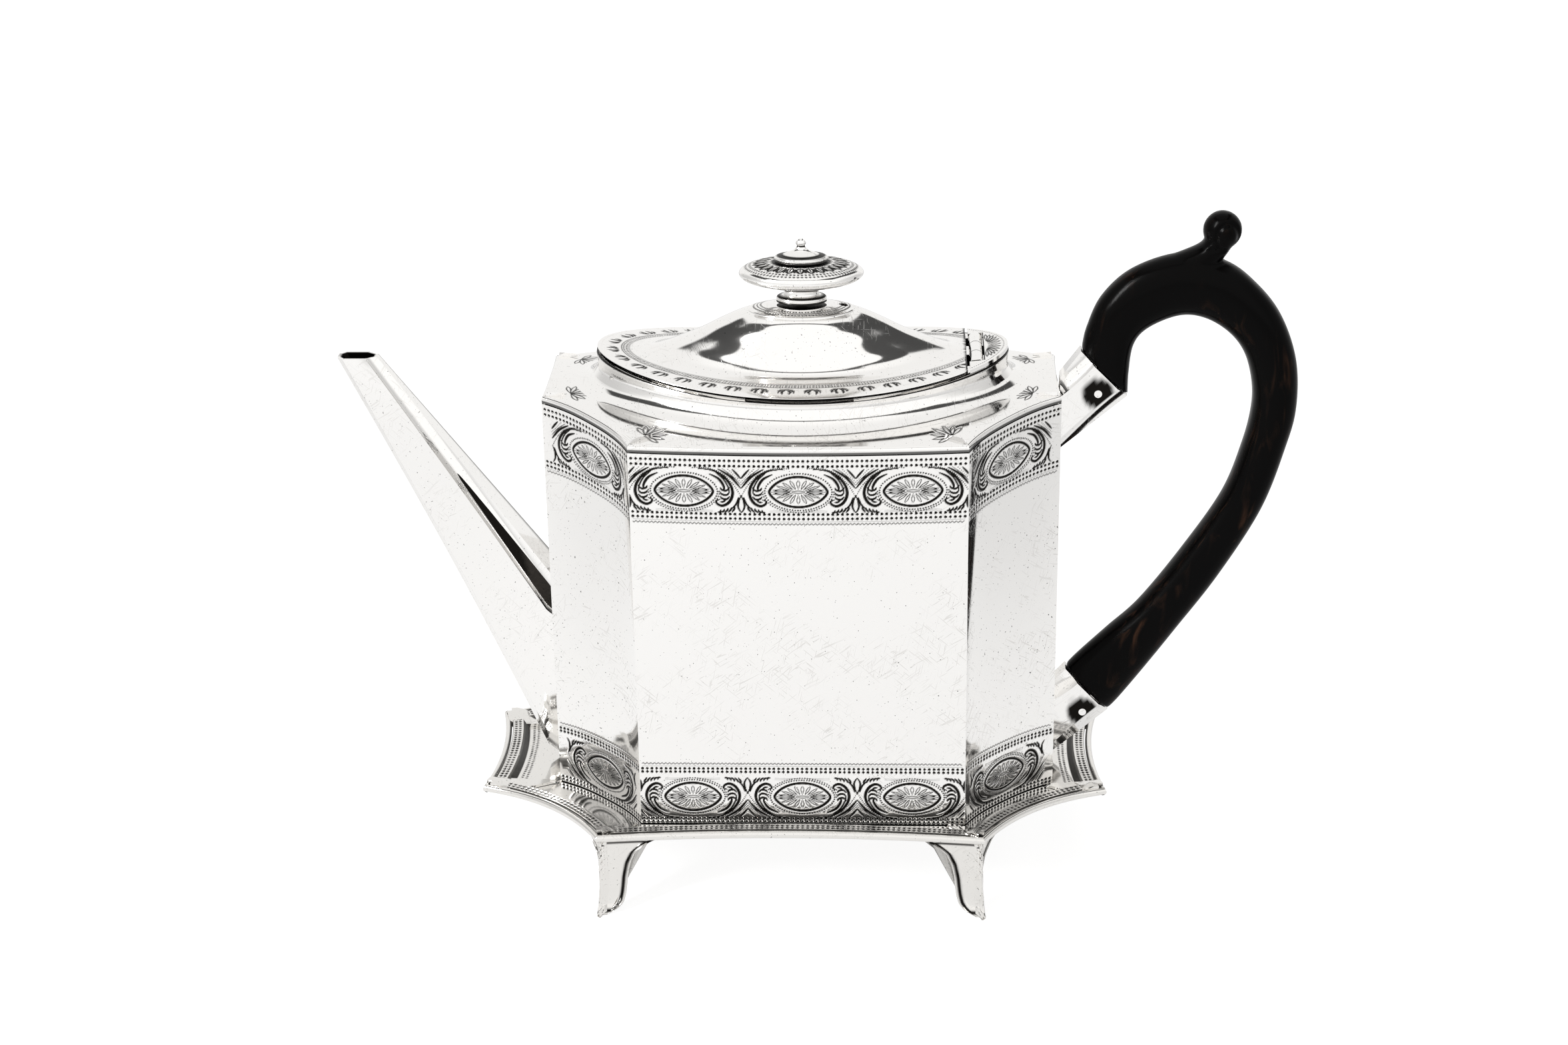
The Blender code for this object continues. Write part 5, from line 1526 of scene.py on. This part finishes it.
@dataclass
class Feet:
    """The four bracket feet with raised edges, set round the tray's front and back corners."""

    bench: Bench
    finishes: Finishes
    set_back: float = 2.4
    sheet: float = 1.6
    toe: float = 2.4
    columns: int = 56
    rows: int = 72

    def build(self) -> None:
        """Makes the front left foot and mirrors it to the other corners."""
        for y_name, flip_y in (("front", 1), ("back", -1)):
            for x_name, flip_x in (("left", 1), ("right", -1)):
                self._foot("%s_%s" % (y_name, x_name), flip_x, flip_y)

    def _along(self, plan: np.ndarray, distance: np.ndarray) -> np.ndarray:
        """Gives points at distances round the plan's first corner, before it or after it."""
        closed = np.vstack([plan[len(plan) // 2:], plan[: len(plan) // 2 + 1]])
        run = running_length(closed)
        zero = run[len(plan) - len(plan) // 2]
        return np.stack([np.interp(distance + zero, run, closed[:, k]) for k in range(2)], axis=-1)

    def _edge_at(self, share: np.ndarray, knots: tuple[tuple[float, float], ...]) -> np.ndarray:
        """Draws one smoothed edge of a foot from its knots."""
        line = np.interp(share, *zip(*knots))
        return np.convolve(np.pad(line, 2, mode="edge"), np.ones(5) / 5, mode="valid")

    def _foot(self, name: str, flip_x: int, flip_y: int) -> None:
        """Makes one foot.

        Args:
            name: Which corner it stands at.
            flip_x: -1 to mirror it to the other end.
            flip_y: -1 to mirror it to the back.
        """
        plan, _ = TRAY.outline(0.5)
        plan = inset(plan, self.set_back)
        share = np.linspace(0, 1, self.rows)
        front = self._edge_at(share, ((0.0, 19.6), (0.05, 18.2), (0.12, 14.6), (0.22, 11.8), (0.36, 10.2),
                                      (0.55, 9.3), (0.75, 8.9), (0.86, 8.4), (0.94, 6.8), (1.0, 3.6)))
        side = self._edge_at(share, ((0.0, 15.0), (0.05, 13.2), (0.14, 9.4), (0.27, 6.2), (0.45, 4.4),
                                     (0.7, 3.8), (0.86, 3.9), (0.94, 2.8), (1.0, 0.0)))
        top = TRAY_FLOOR + TRAY_DEPTH - SHEET - SEAM
        across = np.linspace(0, 1, self.columns)
        distance = -side[:, None] + (front + side)[:, None] * across[None, :]
        xy = self._along(plan, distance)
        out = self.toe * np.maximum(0.0, (share - 0.5) / 0.5)[:, None] ** 2.2
        x, y = xy[:, :, 0] - out * 0.35, xy[:, :, 1] - out * 0.9
        z = np.broadcast_to((top * (1 - share))[:, None], x.shape)
        edge_gap = (front + side)[:, None] * np.minimum(across, 1 - across)[None, :]
        gap = np.minimum(edge_gap, (1 - share)[:, None] * top)
        raise_by = 0.6 * np.exp(-((gap - 0.5) / 0.42) ** 2) + 0.3 * np.exp(-((gap - 1.75) / 0.32) ** 2)
        raise_by += 0.35 * np.exp(-((share[:, None] - 0.05) / 0.022) ** 2)
        points = np.stack([x, y, z], axis=2)
        # painted shade in the groove along the raised edges and under the ridge near the top
        dark = 0.11 * np.exp(-((gap - 1.2) / 0.48) ** 2)
        dark += 0.09 * np.exp(-((share[:, None] - 0.09) / 0.012) ** 2)
        skin = Skin(points, (0, 0, 10), wraps=False, cut=-(raise_by - 0.4), thickness=self.sheet - 0.4,
                    back_step=6)
        rings, _ = skin.loop()
        cut = np.concatenate([dark, np.zeros((len(rings) - self.rows, self.columns))])
        rings = rings * (flip_x, flip_y, 1)
        rings[:, :, 2] = np.clip(rings[:, :, 2], 0.0, top)
        piece = self.bench.grid("foot_" + name, rings, Place.STAND, wraps=False, cut=cut, smooth=0.9)
        self.bench.hand_over(piece, Rider.STAND, self.finishes.stand, "silver", ("stand_foot_" + name,))


# ------------------------------------------------------------------ the rest of the object


def dress_kept_nodes(frame: dict, finishes: Finishes) -> None:
    """Gives the nodes that stay their finishes.

    Args:
        frame: What loading the frame returned.
        finishes: The built materials.
    """
    dull = ("hinge_pin", "finial_stud", "finial_washer", "finial_nut")
    for name, node in frame["nodes"].items():
        if node.hide_render:
            continue
        node.data.materials.clear()
        node.data.materials.append(finishes.dull if name in dull else finishes.bright)


@dataclass
class Studio:
    """A white room with a soft ceiling light, and the camera."""

    behind: float = 1.0
    in_front: float = 1.16
    frame_depth: float = 0.93

    def build(self) -> None:
        """Makes the floor, the surroundings, the light and the camera."""
        self._floor()
        self._surroundings()
        self._lamp("ceiling_light", (0.0, -0.1, 1.5), (1.1, 1.0), 2.0, mirrored=False)
        self._lamp("left_strip", (-0.75, -0.65, 0.8), (0.14, 0.6), 13.0, mirrored=True)
        self._camera()
        scene = bpy.context.scene
        scene.view_settings.view_transform = "Standard"
        scene.view_settings.exposure = 0.0

    def _floor(self) -> None:
        """Makes the pale floor."""
        bpy.ops.object.select_all(action="DESELECT")
        bpy.ops.mesh.primitive_plane_add(size=8.0, location=(0, 0, 0))
        floor = bpy.context.object
        floor.name = "studio_floor"
        material = bpy.data.materials.new("white_card")
        material.use_nodes = True
        shader = material.node_tree.nodes["Principled BSDF"]
        shader.inputs["Base Color"].default_value = (0.3, 0.3, 0.3, 1)
        shader.inputs["Emission Color"].default_value = (1.0, 1.0, 1.0, 1)
        shader.inputs["Roughness"].default_value = 0.9
        shader.inputs["Specular IOR Level"].default_value = 0.0
        n = Nodes(material.node_tree)
        place = n.add("ShaderNodeSeparateXYZ")
        n.link(n.add("ShaderNodeTexCoord").outputs["Object"], place.inputs[0])
        side = n.ramp(n.maths("ABSOLUTE", place.outputs[0]), 0.12, 0.34)
        seen = n.add("ShaderNodeLightPath").outputs["Is Camera Ray"]
        glow = n.maths("MULTIPLY_ADD", side, -0.13, 0.58)
        level = n.add("ShaderNodeMix", data_type="FLOAT")
        n.link(seen, level.inputs[0])
        n.link(glow, level.inputs[2])
        level.inputs[3].default_value = 0.8
        n.link(level.outputs[0], shader.inputs["Emission Strength"])
        floor.data.materials.append(material)

    def _surroundings(self) -> None:
        """Makes the white room with its darker corners, which the silver reflects."""
        world = bpy.data.worlds.new("white_room")
        bpy.context.scene.world = world
        world.use_nodes = True
        tree = world.node_tree
        n = Nodes(tree)
        way = n.add("ShaderNodeSeparateXYZ")
        n.link(n.add("ShaderNodeTexCoord").outputs["Generated"], way.inputs[0])
        x, y, z = way.outputs
        height = n.maths("MAXIMUM", z, 0.05)
        gloom = self._dark_frame(n, n.maths("DIVIDE", x, height), n.maths("DIVIDE", y, height))
        front = n.ramp(y, 0.2, -0.5, self.behind, self.in_front)
        sides = n.maths("MULTIPLY", n.ramp(n.maths("ABSOLUTE", x), 0.62, 0.9), n.ramp(z, 0.75, 0.5))
        level = n.maths("MULTIPLY", front, n.maths("MULTIPLY_ADD", sides, -0.32, 1.0))
        level = n.maths("MULTIPLY", level, n.maths("MULTIPLY_ADD", gloom, -self.frame_depth, 1.0))
        background = tree.nodes["Background"]
        n.link(level, background.inputs["Strength"])
        background.inputs["Color"].default_value = (1.0, 0.995, 0.985, 1)

    def _dark_frame(self, n: Nodes, u: bpy.types.NodeSocket, v: bpy.types.NodeSocket) -> bpy.types.NodeSocket:
        """Draws the dark bars to the left, to the right and in front of the white ceiling.

        Each bar has four sides. A side is a measure, where the dark starts and where it is full.

        Args:
            n: The world's nodes.
            u: How far to the right a direction meets the ceiling, in heights of the ceiling.
            v: How far back it meets the ceiling.

        Returns:
            How dark the direction is.
        """
        lean = n.maths("MULTIPLY_ADD", n.maths("MAXIMUM", v, 0.0), -0.28, u)
        nearer = n.maths("MULTIPLY", n.maths("MINIMUM", v, 0.0), 0.52)
        left, right = n.maths("ADD", u, nearer), n.maths("SUBTRACT", u, nearer)
        front_edge = (v, -0.54, -0.505)
        bars = (((left, -0.59, -0.64), (u, -1.04, -0.92), (v, 0.66, 0.46), front_edge),
                ((right, 0.46, 0.51), (lean, 0.73, 0.64), (v, 1.4, 1.15), front_edge),
                (front_edge, (v, -0.42, -0.45), (n.maths("ABSOLUTE", u), 0.66, 0.6)))
        shades = []
        for sides in bars:
            edges = [n.ramp(value, low, high) for value, low, high in sides]
            shades.append(reduce(partial(n.maths, "MULTIPLY"), edges))
        return reduce(partial(n.maths, "MAXIMUM"), shades)

    def _lamp(self, name: str, place: tuple[float, float, float], size: tuple[float, float], power: float,
              mirrored: bool) -> None:
        """Hangs one soft light that points at the object.

        Args:
            name: The light's name.
            place: Where it hangs, in metres.
            size: Its two sides, in metres.
            power: Its power in watts.
            mirrored: Whether the silver shows it.
        """
        light = bpy.data.lights.new(name, "AREA")
        light.shape, light.size, light.size_y, light.energy = "RECTANGLE", size[0], size[1], power
        lamp = bpy.data.objects.new(name, light)
        bpy.context.scene.collection.objects.link(lamp)
        lamp.location = place
        aim = Vector((0, 0, 0.08)) - Vector(place)
        lamp.rotation_euler = aim.to_track_quat("-Z", "Y").to_euler()
        lamp.visible_camera = False
        lamp.visible_glossy = mirrored

    def _camera(self) -> None:
        """Sets the camera slightly above and in front of the pot."""
        data = bpy.data.cameras.new("camera")
        data.sensor_width, data.lens = 36.0, 64.49
        data.clip_start, data.clip_end = 0.01, 50.0
        camera = bpy.data.objects.new("camera", data)
        bpy.context.scene.collection.objects.link(camera)
        yaw, lift, roll = math.radians(-2.520), math.radians(22.697), math.radians(-0.909)
        ahead = Vector((math.sin(yaw) * math.cos(lift), math.cos(yaw) * math.cos(lift), -math.sin(lift)))
        right = Vector((math.cos(yaw), -math.sin(yaw), 0.0))
        up = right.cross(ahead)
        right, up = right * math.cos(roll) + up * math.sin(roll), up * math.cos(roll) - right * math.sin(roll)
        camera.matrix_world = Matrix((
            (right.x, up.x, -ahead.x, (26.584 + POT_PLACE[0]) * MM), (right.y, up.y, -ahead.y, -736.153 * MM),
            (right.z, up.z, -ahead.z, (382.001 + POT_PLACE[2]) * MM), (0, 0, 0, 1)))
        bpy.context.scene.camera = camera


def main() -> None:
    """Builds the whole scene round the frame."""
    logging.basicConfig(level=logging.INFO, format="%(name)s %(message)s")
    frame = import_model()
    bench, finishes = Bench(), Finishes()
    for part in (Walls, Deck, Lid, Finial, Spout, Sockets, Handle, Tray, Feet):
        part(bench, finishes).build()
    dress_kept_nodes(frame, finishes)
    Studio().build()
    total = sum(len(polygon.vertices) - 2 for piece in bench.made for polygon in piece.data.polygons)
    LOG.info("%d pieces, %d triangles", len(bench.made), total)


if __name__ == "__main__":
    main()
